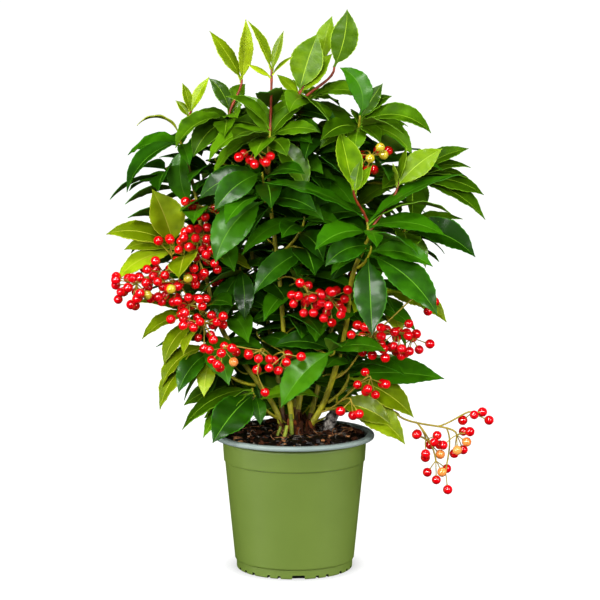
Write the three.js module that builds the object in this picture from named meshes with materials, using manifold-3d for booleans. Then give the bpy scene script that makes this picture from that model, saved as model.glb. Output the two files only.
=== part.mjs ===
// Potted coral ardisia: a clump of upright stems in a round nursery pot, with rosettes of
// leathery leaves at the twig ends and drooping umbels of round red berries below them.
// Millimetres and degrees. +Z is up, -Y is the front, and the origin is the centre of the
// pot's flat underside. Headings run anticlockwise from +X, seen from above.
import * as THREE from "three";
import { mergeVertices } from "three/addons/utils/BufferGeometryUtils.js";
import Module from "manifold-3d";

const wasm = await Module();
wasm.setup();

// Air left between two pieces that touch in life
const CLEAR = 0.3;

const POT = {
  height: 111,
  rimRadius: 65,
  lipHeight: 4,
  bandTopRadius: 58.5,
  bandFootRadius: 57.5,
  bandFootHeight: 88.8,
  bodyTopRadius: 56.6,
  bodyFootRadius: 48.7,
  footHeight: 8,
  footRadius: 47.3,
  wall: 1.2,
  floor: 4,
  sides: 36,
};
// Notches in the pot's foot, by heading from the first wide one. The pattern repeats.
const NOTCH = { height: 3.2, depth: 4.5, wide: 11, narrow: 3.4, first: 274, every: 120 };
const NARROW_NOTCHES = [19, 30, 48, 60, 72, 90, 101];

// The soil's surface is a low mound with a level top, where the stems stand
const SOIL = { edgeHeight: 104, shoulderHeight: 109, topHeight: 111, topRadius: 15 };

const LEAF = { widthShare: 0.38, thickShare: 0.013, least: 0.8, fold: 10, stepDown: 2.2, shoulder: 0.33, waist: 0.68 };
const BERRY = { radius: 3.9, apart: 8.1, stalk: 11.5, stalkSpread: 3.5, stalkRadius: 0.5, turn: 33, knot: 2, tries: 30 };
const TWIG = { rootRadius: 1.5, tipRadius: 0.9, stalkRadius: 0.8, steps: 3 };
const DEG = Math.PI / 180;
const FRONT = 270;
const COMMON_ROSETTE = { rise: 30, droop: 55, size: 60, facing: 30 };
// Turn in degrees from one stalk or leaf to the next that keeps them spread around a twig
const GOLDEN = 137.5;

// A small repeatable random number generator. Its first numbers differ well between seeds.
function randomFrom(seed) {
  let state = Math.imul(seed + 1, 2654435761) >>> 0;
  return () => {
    state = (Math.imul(state, 1664525) + 1013904223) >>> 0;
    return state / 4294967296;
  };
}

const vec = (p) => new THREE.Vector3(...p);

// A closed three.js geometry as a solid
function solidOf(geometry) {
  const bare = new THREE.BufferGeometry();
  bare.setAttribute("position", geometry.getAttribute("position"));
  bare.setIndex(geometry.getIndex());
  const merged = mergeVertices(bare, 1e-4);
  const corners = [];
  const index = merged.getIndex().array;
  for (let i = 0; i < index.length; i += 3) {
    const [a, b, c] = index.slice(i, i + 3);
    if (a !== b && b !== c && c !== a) corners.push(a, b, c);
  }
  const solid = new wasm.Manifold(
    new wasm.Mesh({
      numProp: 3,
      vertProperties: merged.getAttribute("position").array,
      triVerts: new Uint32Array(corners),
    }),
  );
  if (solid.volume() <= 0) throw new Error("a geometry is inside out");
  return solid;
}

function geometryOf(solid) {
  const mesh = solid.getMesh();
  const geometry = new THREE.BufferGeometry();
  geometry.setAttribute("position", new THREE.BufferAttribute(mesh.vertProperties, 3));
  geometry.setIndex(new THREE.BufferAttribute(mesh.triVerts, 1));
  geometry.computeVertexNormals();
  return geometry;
}

// The largest body of a union: loose scraps and sealed hollows are left out
function oneBody(solids) {
  const bodies = wasm.Manifold.union(solids).decompose();
  return bodies.reduce((best, body) => (body.volume() > best.volume() ? body : best));
}

const MATERIALS = {
  pot: new THREE.MeshStandardMaterial({ color: 0x768c40, roughness: 0.45, metalness: 0 }),
  soil: new THREE.MeshStandardMaterial({ color: 0x2a1c13, roughness: 0.95, metalness: 0 }),
  stem: new THREE.MeshStandardMaterial({ color: 0x6f6a24, roughness: 0.6, metalness: 0 }),
  foliage: new THREE.MeshStandardMaterial({ color: 0x23601a, roughness: 0.35, metalness: 0 }),
  fruit: new THREE.MeshStandardMaterial({ color: 0xd4101c, roughness: 0.2, metalness: 0 }),
};

const plant = new THREE.Group();
const finished = [];

function addNode(name, solid, material) {
  const mesh = new THREE.Mesh(geometryOf(solid), material);
  mesh.name = name;
  plant.add(mesh);
  finished.push(piece(solid));
}

// A solid and its box, which tells at once that most others are far away
function piece(solid) {
  return { solid, box: solid.boundingBox() };
}

function isFar(box, other) {
  return [0, 1, 2].some(
    (k) => box.min[k] > other.max[k] + CLEAR || other.min[k] > box.max[k] + CLEAR,
  );
}

// Whether a piece stays a hair clear of all the others
function isClear({ solid, box }, others) {
  const enough = CLEAR * 0.9;
  return others.every((other) => isFar(box, other.box) || solid.minGap(other.solid, CLEAR) > enough);
}

function turned(profile, sides) {
  const points = profile.map(([radius, height]) => new THREE.Vector2(radius, height));
  return solidOf(new THREE.LatheGeometry(points, sides).rotateX(Math.PI / 2));
}

// Pot: one thin shell with a rolled lip, a stepped band under it and a notched foot
function makePot() {
  const p = POT;
  const lipUnder = p.height - p.lipHeight;
  const inner = p.wall;
  const shell = turned(
    [
      [0, 0],
      [p.footRadius - 1, 0],
      [p.footRadius, 1],
      [p.footRadius + 0.4, p.footHeight],
      [p.bodyFootRadius, p.footHeight + 0.6],
      [p.bodyTopRadius, p.bandFootHeight - 0.6],
      [p.bandFootRadius, p.bandFootHeight],
      [p.bandTopRadius, lipUnder],
      [p.rimRadius - 0.8, lipUnder],
      [p.rimRadius, lipUnder + 1],
      [p.rimRadius, p.height - 1],
      [p.rimRadius - 1, p.height],
      [p.bandTopRadius + 0.6, p.height],
      [p.bandTopRadius - inner, p.height - 1.4],
      [p.bandFootRadius - inner, p.bandFootHeight],
      [p.bodyTopRadius - inner, p.bandFootHeight - 0.6],
      [p.footRadius - inner, p.floor],
      [0, p.floor],
    ],
    p.sides,
  );
  const notches = [];
  for (let start = 0; start < 360; start += NOTCH.every) {
    notches.push([start, NOTCH.wide]);
    NARROW_NOTCHES.forEach((angle) => notches.push([start + angle, NOTCH.narrow]));
  }
  const cutters = notches.map(([angle, width]) => {
    const box = new THREE.BoxGeometry(2 * NOTCH.depth, width, 2 * NOTCH.height);
    box.translate(p.footRadius, 0, 0).rotateZ((NOTCH.first + angle) * DEG);
    return solidOf(box);
  });
  return shell.subtract(wasm.Manifold.union(cutters));
}

// Soil: fills the pot, a hair clear of its wall
function makeSoil() {
  const inside = POT.wall + CLEAR;
  const edge = POT.bandFootRadius - inside + 0.5;
  return turned(
    [
      [0, POT.floor + CLEAR],
      [POT.footRadius - inside - 0.1, POT.floor + CLEAR],
      [POT.bodyTopRadius - inside - 0.1, POT.bandFootHeight - 1.4],
      [edge, SOIL.edgeHeight],
      [edge * 0.72, SOIL.shoulderHeight],
      [SOIL.topRadius + 4, SOIL.topHeight],
      [0, SOIL.topHeight],
    ],
    POT.sides,
  );
}

// A place and heading on a rod's axis, which runs straight from ring to ring
function onAxis(curve, steps, share) {
  const step = Math.min(Math.floor(share * steps), steps - 1);
  const start = curve.getPoint(step / steps);
  const end = curve.getPoint((step + 1) / steps);
  const heading = end.clone().sub(start).normalize();
  return { point: start.lerp(end, share * steps - step), heading };
}

// Two directions square to a rod at each of its rings, carried along without twisting. A
// ring between two straight steps halves the angle between them, and the last is square to
// the last step.
function ringFrames(curve, steps) {
  const points = Array.from({ length: steps + 1 }, (_, step) => curve.getPoint(step / steps));
  let across = null;
  return points.map((point, step) => {
    const tangent = step ? point.clone().sub(points[step - 1]).normalize() : curve.getTangent(0);
    if (step && step < steps) tangent.add(points[step + 1].clone().sub(point).normalize()).normalize();
    const guide = Math.abs(tangent.y) > 0.9 ? new THREE.Vector3(1, 0, 0) : new THREE.Vector3(0, 1, 0);
    across = across ? across.clone() : guide.cross(tangent);
    across.addScaledVector(tangent, -across.dot(tangent)).normalize();
    return { point, across, ahead: across.clone().cross(tangent) };
  });
}

// A tapering limb or twig: a three.js cylinder bent along a curve
function rod(curve, radiusAt, sides, steps, levelCut = false) {
  const frames = ringFrames(curve, steps);
  const geometry = new THREE.CylinderGeometry(1, 1, 1, sides, steps);
  const position = geometry.getAttribute("position");
  for (let i = 0; i < position.count; i++) {
    const step = Math.round((position.getY(i) + 0.5) * steps);
    const radius = radiusAt(step / steps);
    const { across, ahead } = frames[step];
    if (levelCut && step === 0) {
      across.setZ(0).normalize();
      ahead.crossVectors(across, new THREE.Vector3(0, 0, 1));
    }
    const point = frames[step].point.clone();
    point.addScaledVector(across, position.getX(i) * radius);
    point.addScaledVector(ahead, position.getZ(i) * radius);
    position.setXYZ(i, point.x, point.y, point.z);
  }
  return solidOf(geometry);
}

// Limbs: every stem stands on the soil, and every bough starts at a stem
const STEMS = {
  stem_right: {
    through: [[9, -4, 0], [22, -7, 133], [31, -12, 158], [41, -22, 199], [46, -35, 243], [57, -44, 271]],
    radii: [2.6, 1.7],
  },
  stem_left: {
    through: [[-9, -3, 0], [-19, -2, 137], [-56, 2, 190], [-71, 4, 236], [-77, 6, 290], [-88, 7, 338]],
    radii: [2.3, 1.3],
  },
  stem_front: {
    through: [[-1, -9, 0], [-6, -8, 160], [-12, -14, 240], [-19, -22, 300], [-20, -27, 343]],
    radii: [2.2, 1.3],
  },
  stem_middle: {
    through: [[1, 1, 0], [8, 12, 180], [3, 10, 270], [2, 2, 330], [4, -2, 372]],
    radii: [2.2, 1.2],
  },
  stem_back_right: {
    through: [[10, 5, 0], [24, 20, 165], [42, 22, 250], [50, 6, 320], [51, -8, 352]],
    radii: [2.2, 1.2],
  },
  stem_back_left: {
    through: [[-8, 7, 0], [-18, 22, 180], [-36, 24, 260], [-48, 14, 320], [-53, 8, 357]],
    radii: [2, 1.2],
  },
  stem_back: {
    through: [[1, 11, 0], [-2, 36, 175], [-4, 52, 250], [-6, 52, 310], [-4, 42, 352]],
    radii: [2.2, 1.2],
  },
};
const BOUGHS = {
  bough_fruiting: { on: "stem_right", share: 0.2, to: [84, -14, 127], radii: [1.5, 1.2], lift: -0.1 },
  bough_right: { on: "stem_back_right", share: 0.5, to: [84, 6, 268], radii: [1.3, 1.1] },
  bough_right_upper: { on: "stem_back_right", share: 0.72, to: [93, 18, 312], radii: [1.3, 1.1] },
  bough_right_lower: { on: "stem_back_right", share: 0.34, to: [68, 18, 215], radii: [1.3, 1.1] },
  bough_back_right: { on: "stem_back", share: 0.42, to: [52, 62, 252], radii: [1.3, 1.1] },
  bough_back_left: { on: "stem_back", share: 0.4, to: [-62, 58, 246], radii: [1.3, 1.1] },
  bough_back_low: { on: "stem_back", share: 0.16, to: [28, 62, 165], radii: [1.3, 1.1] },
  bough_back_low_left: { on: "stem_back_left", share: 0.18, to: [-48, 42, 166], radii: [1.3, 1.1] },
};

const limbs = {};

function addLimb(name, curve, radii, sides, steps, flare) {
  const [root, tip] = radii;
  const radiusAt = (along) =>
    THREE.MathUtils.lerp(root, tip, along) + flare * Math.exp(-along * 30);
  limbs[name] = { curve, steps, radiusAt };
  addNode(name, rod(curve, radiusAt, sides, steps, flare > 0), MATERIALS.stem);
}

// A side twig runs up along its limb by this much for each millimetre out
const LEAVING_SLANT = 0.7;

// Where a twig or bough leaves a limb: a hair clear of its tip, or of its side at a slant
function rootOn(limb, share, target, radius) {
  const { point, heading } = onAxis(limb.curve, limb.steps, share);
  if (share === 1) return { point: point.addScaledVector(heading, CLEAR), heading };
  const out = target.clone().sub(point);
  out.addScaledVector(heading, -out.dot(heading)).normalize();
  const reach = limb.radiusAt(share) + CLEAR + radius * LEAVING_SLANT;
  point.addScaledVector(out, reach);
  return { point, heading: out.addScaledVector(heading, LEAVING_SLANT).normalize() };
}

// A twig's line: it leaves along one heading and arrives rising, bent by a seeded swing
function sprigLine(root, target, lift, swing = [0, 0, 0]) {
  const reach = root.point.distanceTo(target);
  const leave = root.point.clone().addScaledVector(root.heading, reach * 0.34);
  const arrive = target.clone().add(new THREE.Vector3(0, 0, -reach * lift));
  const bend = vec(swing).multiplyScalar(reach);
  return new THREE.CubicBezierCurve3(root.point, leave.add(bend), arrive.add(bend), target);
}

// The middle line and frame of a leaf, which bends down evenly from root to tip
function leafFrame(leaf, along) {
  const rise = leaf.rise * DEG;
  const droop = Math.max(leaf.droop, 0.5) * DEG;
  const heading = leaf.heading * DEG;
  const angle = rise - droop * along;
  const out = (leaf.length * (Math.sin(rise) - Math.sin(angle))) / droop;
  const up = (leaf.length * (Math.cos(angle) - Math.cos(rise))) / droop;
  const flat = new THREE.Vector3(Math.cos(heading), Math.sin(heading), 0);
  const point = leaf.root.clone().addScaledVector(flat, out).add(new THREE.Vector3(0, 0, up));
  const ahead = flat.clone().multiplyScalar(Math.cos(angle)).setZ(Math.sin(angle));
  const side = new THREE.Vector3(-Math.sin(heading), Math.cos(heading), 0);
  const face = ahead.clone().cross(side);
  const roll = leaf.roll * DEG;
  const rolledFace = face.clone().multiplyScalar(Math.cos(roll)).addScaledVector(side, Math.sin(roll));
  const rolledSide = side.clone().multiplyScalar(Math.cos(roll)).addScaledVector(face, -Math.sin(roll));
  return { point, side: rolledSide, face: rolledFace };
}

// A leaf: a three-by-three sphere drawn out into a thin blade, pointed at both ends, with a
// keel under its midrib and its edges raised. From a start above 0 it is the blade alone.
function leafSolid(leaf, start = 0) {
  const geometry = new THREE.SphereGeometry(1, 3, 3);
  const position = geometry.getAttribute("position");
  const thick = Math.max(LEAF.thickShare * leaf.length, LEAF.least);
  const fold = Math.tan(LEAF.fold * DEG);
  for (let i = 0; i < position.count; i++) {
    const ring = (1 - position.getY(i)) / 2;
    const isEnd = ring < 0.01 || ring > 0.99;
    const share = isEnd ? Math.round(ring) : ring < 0.5 ? LEAF.shoulder : LEAF.waist;
    const { point, side, face } = leafFrame(leaf, start + (1 - start) * share);
    if (!isEnd) {
      const halfWidth = leaf.length * LEAF.widthShare * leaf.breadth * (ring < 0.5 ? 0.48 : 0.45);
      const isKeel = Math.abs(position.getZ(i)) < 0.1;
      point.addScaledVector(side, isKeel ? 0 : -Math.sign(position.getZ(i)) * halfWidth);
      point.addScaledVector(face, isKeel ? -thick : halfWidth * fold);
    }
    position.setXYZ(i, point.x, point.y, point.z);
  }
  return solidOf(geometry);
}

// How a leaf that would touch something may turn aside: heading and rise, nearest first
const TURNS = [0, 9, -9, 18, -18, 28, -28].flatMap((turn) =>
  [0, 10, -10, 20].map((tilt) => [turn, tilt]),
);

// Headings for the leaves that follow the named ones: each takes the widest gap left
function nextHeading(headings, random) {
  if (!headings.length) return random() * 360;
  const sorted = [...headings].sort((a, b) => a - b);
  const gaps = sorted.map((heading, i) => {
    const next = i + 1 < sorted.length ? sorted[i + 1] : sorted[0] + 360;
    return [next - heading, heading];
  });
  const [width, from] = gaps.reduce((best, gap) => (gap[0] > best[0] ? gap : best));
  return (from + width * (0.38 + 0.24 * random())) % 360;
}

// The leaves of one rosette, before they are tried for room
function rosetteLeaves(rosette, line, random) {
  const shown = rosette.leaves ?? [];
  const headings = [];
  const leaves = [];
  const total = shown.length + (rosette.more ?? 0);
  const reach = line.v0.distanceTo(line.v3);
  for (let i = 0; i < total; i++) {
    const draws = [random(), random(), random(), random()];
    const [heading, rise, length, facing = rosette.facing, droop = rosette.droop, wider = 1] = shown[i] ?? [
      nextHeading(headings, random),
      rosette.rise + 14 * (draws[0] - 0.5) - 5 * (i - shown.length),
      rosette.size * (0.82 + 0.2 * draws[1]),
    ];
    const face = i < shown.length ? FRONT : rosette.outward;
    headings.push(heading);
    const down = Math.min(0.6, (LEAF.stepDown * (i + 0.4)) / reach);
    leaves.push({
      root: onAxis(line, TWIG.steps, 1 - down).point,
      heading,
      rise,
      length,
      droop: droop * (0.9 + 0.2 * draws[2]),
      roll: facing * Math.sin((face - heading) * DEG) + 16 * (draws[3] - 0.5),
      breadth: wider * (0.92 + 0.18 * draws[1]),
    });
  }
  return leaves;
}

// One umbel: berries on stalks from a knot at the twig's end, each where there is room
function growUmbel(umbel, line, random, hasRoom) {
  const { point: root, heading } = onAxis(line, TWIG.steps, 0.99);
  const knot = new THREE.OctahedronGeometry(BERRY.knot, 0).translate(...root.toArray());
  const twigWay = { away: heading.negate() };
  const berries = [];
  for (let tries = 0; berries.length < umbel.berries && tries < BERRY.tries * umbel.berries; tries++) {
    const around = (GOLDEN * berries.length + 60 * (random() - 0.5)) * DEG;
    const fall = ((umbel.fall ?? -30) + 120 * (random() - 0.5)) * DEG;
    const reach = BERRY.stalk + BERRY.stalkSpread * (2 * random() - 1) + umbel.berries * 0.25;
    const away = new THREE.Vector3(Math.cos(around), Math.sin(around), 0);
    away.multiplyScalar(Math.cos(fall)).setZ(Math.sin(fall));
    const berry = { away, at: root.clone().addScaledVector(away, reach) };
    berry.solid = berrySolid(root, berry.at);
    const spread = [twigWay, ...berries].every((other) => other.away.angleTo(away) > BERRY.turn * DEG);
    if (spread && hasRoom(berry)) berries.push(berry);
  }
  return solidOf(knot);
}

// A berry and its stalk: a sphere whose upper rings are drawn out to the twig. Each ring is
// given by its radius, its height over the berry's centre and its turn, from the twig down.
function berrySolid(root, at) {
  const up = root.clone().sub(at);
  const far = up.length();
  const r = BERRY.radius * 1.08;
  const rings = [
    [0, far, 0],
    [BERRY.stalkRadius * 0.8, far - 0.8, 0],
    [BERRY.stalkRadius, r * 0.93, 0],
    [r * 1.02, r * 0.33, 0],
    [r * 0.94, -r * 0.5, Math.PI / 3],
    [0, -r, 0],
  ];
  const turn = new THREE.Quaternion().setFromUnitVectors(new THREE.Vector3(0, 1, 0), up.normalize());
  const geometry = new THREE.SphereGeometry(1, 3, rings.length - 1);
  const position = geometry.getAttribute("position");
  for (let i = 0; i < position.count; i++) {
    const fall = Math.acos(THREE.MathUtils.clamp(position.getY(i), -1, 1)) / Math.PI;
    const [radius, height, twist] = rings[Math.round(fall * (rings.length - 1))];
    const flat = new THREE.Vector2(position.getX(i), position.getZ(i));
    flat.setLength(radius).rotateAround(new THREE.Vector2(), twist);
    const point = new THREE.Vector3(flat.x, height, flat.y);
    point.applyQuaternion(turn).add(at);
    position.setXYZ(i, point.x, point.y, point.z);
  }
  return solidOf(geometry);
}

// How far along its limb a twig's root may shift to find room
const SHARE_STEPS = [0, -0.012, 0.012, -0.025, 0.025];

// Lines for all twigs of a mass. The first leaves the mass's limb and the others leave the
// first, so that they make one piece. A twig in another's way is bent aside.
function growTwigs(mass) {
  const ends = [...(mass.rosettes ?? []), ...(mass.umbels ?? [])];
  let leader = null;
  mass.twigs = ends.map((end, k) => {
    const random = randomFrom(mass.number * 50 + k);
    const target = vec(end.at);
    const isUmbel = end.berries !== undefined;
    const thin = leader ? 0.8 : 1;
    const root = (isUmbel ? TWIG.stalkRadius : TWIG.rootRadius) * thin;
    const radiusAt = (along) => THREE.MathUtils.lerp(root, isUmbel ? 0.7 : TWIG.tipRadius, along);
    for (let tries = 0; tries < 40; tries++) {
      const size = 0.02 * tries;
      const share = mass.share === 1 ? 1 : mass.share + SHARE_STEPS[tries % SHARE_STEPS.length];
      const from = leader ? branchPoint(leader, target) : rootOn(limbs[mass.on], share, target, root);
      const swing = [0, 0, 0].map(() => (random() - 0.5) * 2 * size);
      const line = sprigLine(from, target, isUmbel ? -0.2 : 0.3, swing);
      const twig = piece(rod(line, radiusAt, 3, TWIG.steps));
      if (isClear(twig, [...finished, ...otherTwigs(mass)])) {
        leader = leader ?? line;
        return { ...twig, line };
      }
    }
    throw new Error(`no room for a twig of ${mass.name}`);
  });
}

const otherTwigs = (mass) => masses.filter((other) => other !== mass).flatMap((other) => other.twigs ?? []);

// The berries and leaves of a mass, on its twigs. A leaf that would touch another node or
// another leaf's blade turns aside, and one that finds no room is left out.
function growMass(mass) {
  const rosettes = mass.rosettes ?? [];
  const others = [...finished, ...otherTwigs(mass)];
  const grown = [];
  const balls = [];
  (mass.umbels ?? []).forEach((umbel, k) => {
    const random = randomFrom(mass.number * 50 + 25 + k);
    const earlier = [...grown];
    const hasRoom = (berry) => {
      const ball = new THREE.IcosahedronGeometry(BERRY.radius, 0).translate(...berry.at.toArray());
      const fits =
        balls.every((other) => other.distanceTo(berry.at) > BERRY.apart) &&
        isClear(piece(solidOf(ball)), mass.twigs) &&
        isClear(piece(berry.solid), [...others, ...earlier]);
      if (fits) {
        balls.push(berry.at);
        grown.push(piece(berry.solid));
      }
      return fits;
    };
    grown.push(piece(growUmbel(umbel, mass.twigs[rosettes.length + k].line, random, hasRoom)));
  });
  const blades = [...grown];
  rosettes.forEach((rosette, k) => {
    const full = { ...COMMON_ROSETTE, outward: outwardFrom(rosette.at), ...rosette };
    const random = randomFrom(mass.number * 50 + 12 + k);
    for (const leaf of rosetteLeaves(full, mass.twigs[k].line, random)) {
      TURNS.some(([turn, tilt]) => {
        const tried = { ...leaf, heading: leaf.heading + turn, rise: leaf.rise + tilt };
        const whole = piece(leafSolid(tried));
        const blade = piece(leafSolid(tried, 0.3));
        if (!isClear(whole, others) || !isClear(blade, blades)) return false;
        grown.push(whole);
        blades.push(blade);
        return true;
      });
    }
  });
  const solid = oneBody([...mass.twigs, ...grown].map((one) => one.solid));
  addNode(mass.name, solid, mass.rosettes ? MATERIALS.foliage : MATERIALS.fruit);
}

// The heading out of the crown from a place, towards which the filling leaves are rolled.
// The named leaves, which are those that the photo shows, are rolled towards the front.
function outwardFrom([x, y]) {
  return Math.atan2(y - 15, x) / DEG;
}

// Where a side twig leaves its leader: the place from which it runs on most nearly straight
function branchPoint(leader, target) {
  const choices = [0.25, 0.4, 0.55, 0.7, 0.85].map((share) => {
    const { point, heading } = onAxis(leader, TWIG.steps, share);
    const way = target.clone().sub(point);
    const reach = way.length();
    way.normalize();
    const cost = reach * (1.6 - way.dot(heading));
    return { point, heading: heading.add(way).normalize(), cost };
  });
  return choices.reduce((best, choice) => (choice.cost < best.cost ? choice : best));
}

const FRUIT_SPRAYS = [
  {
    name: "fruit_left",
    on: "stem_left",
    share: 0.6,
    umbels: [
      { at: [-104, -20, 243], berries: 11 },
      { at: [-126, -26, 236], berries: 12 },
      { at: [-92, -26, 236], berries: 9 },
    ],
  },
  {
    name: "fruit_upper_left",
    on: "stem_left",
    share: 0.72,
    umbels: [
      { at: [-70, -12, 295], berries: 6 },
      { at: [-76, -16, 272], berries: 9 },
    ],
  },
  {
    name: "fruit_left_lower",
    on: "stem_left",
    share: 0.44,
    umbels: [
      { at: [-72, -28, 204], berries: 9 },
      { at: [-84, -22, 218], berries: 9 },
    ],
  },
  {
    name: "fruit_low_left",
    on: "stem_front",
    share: 0.26,
    umbels: [
      { at: [-27, -44, 184], berries: 6, fall: -60 },
      { at: [-56, -44, 186], berries: 9, fall: -50 },
      { at: [-8, -48, 182], berries: 5, fall: -60 },
    ],
  },
  {
    name: "fruit_centre",
    on: "stem_front",
    share: 0.5,
    umbels: [
      { at: [11, -46, 230], berries: 9 },
      { at: [29, -44, 226], berries: 9 },
    ],
  },
  {
    name: "fruit_right",
    on: "stem_right",
    share: 0.4,
    umbels: [
      { at: [63, -38, 197], berries: 10 },
      { at: [81, -34, 198], berries: 8 },
      { at: [94, -30, 192], berries: 4 },
    ],
  },
  {
    name: "fruit_low_right",
    on: "stem_right",
    share: 0.18,
    umbels: [
      { at: [61, -38, 161], berries: 7 },
      { at: [45, -42, 144], berries: 3, fall: -80 },
    ],
  },
  {
    name: "fruit_far_right",
    on: "bough_fruiting",
    share: 1,
    umbels: [
      { at: [131, -20, 112], berries: 6 },
      { at: [106, -18, 108], berries: 8 },
      { at: [143, -14, 129], berries: 4, fall: 5 },
      { at: [114, -22, 91], berries: 4, fall: -50 },
    ],
  },
  {
    name: "fruit_top_centre",
    on: "stem_front",
    share: 0.88,
    umbels: [{ at: [-31, -56, 345], berries: 6, fall: -60 }],
  },
  {
    name: "fruit_top_right",
    on: "stem_back_right",
    share: 0.88,
    umbels: [{ at: [60, -34, 338], berries: 9 }],
  },
];

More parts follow.
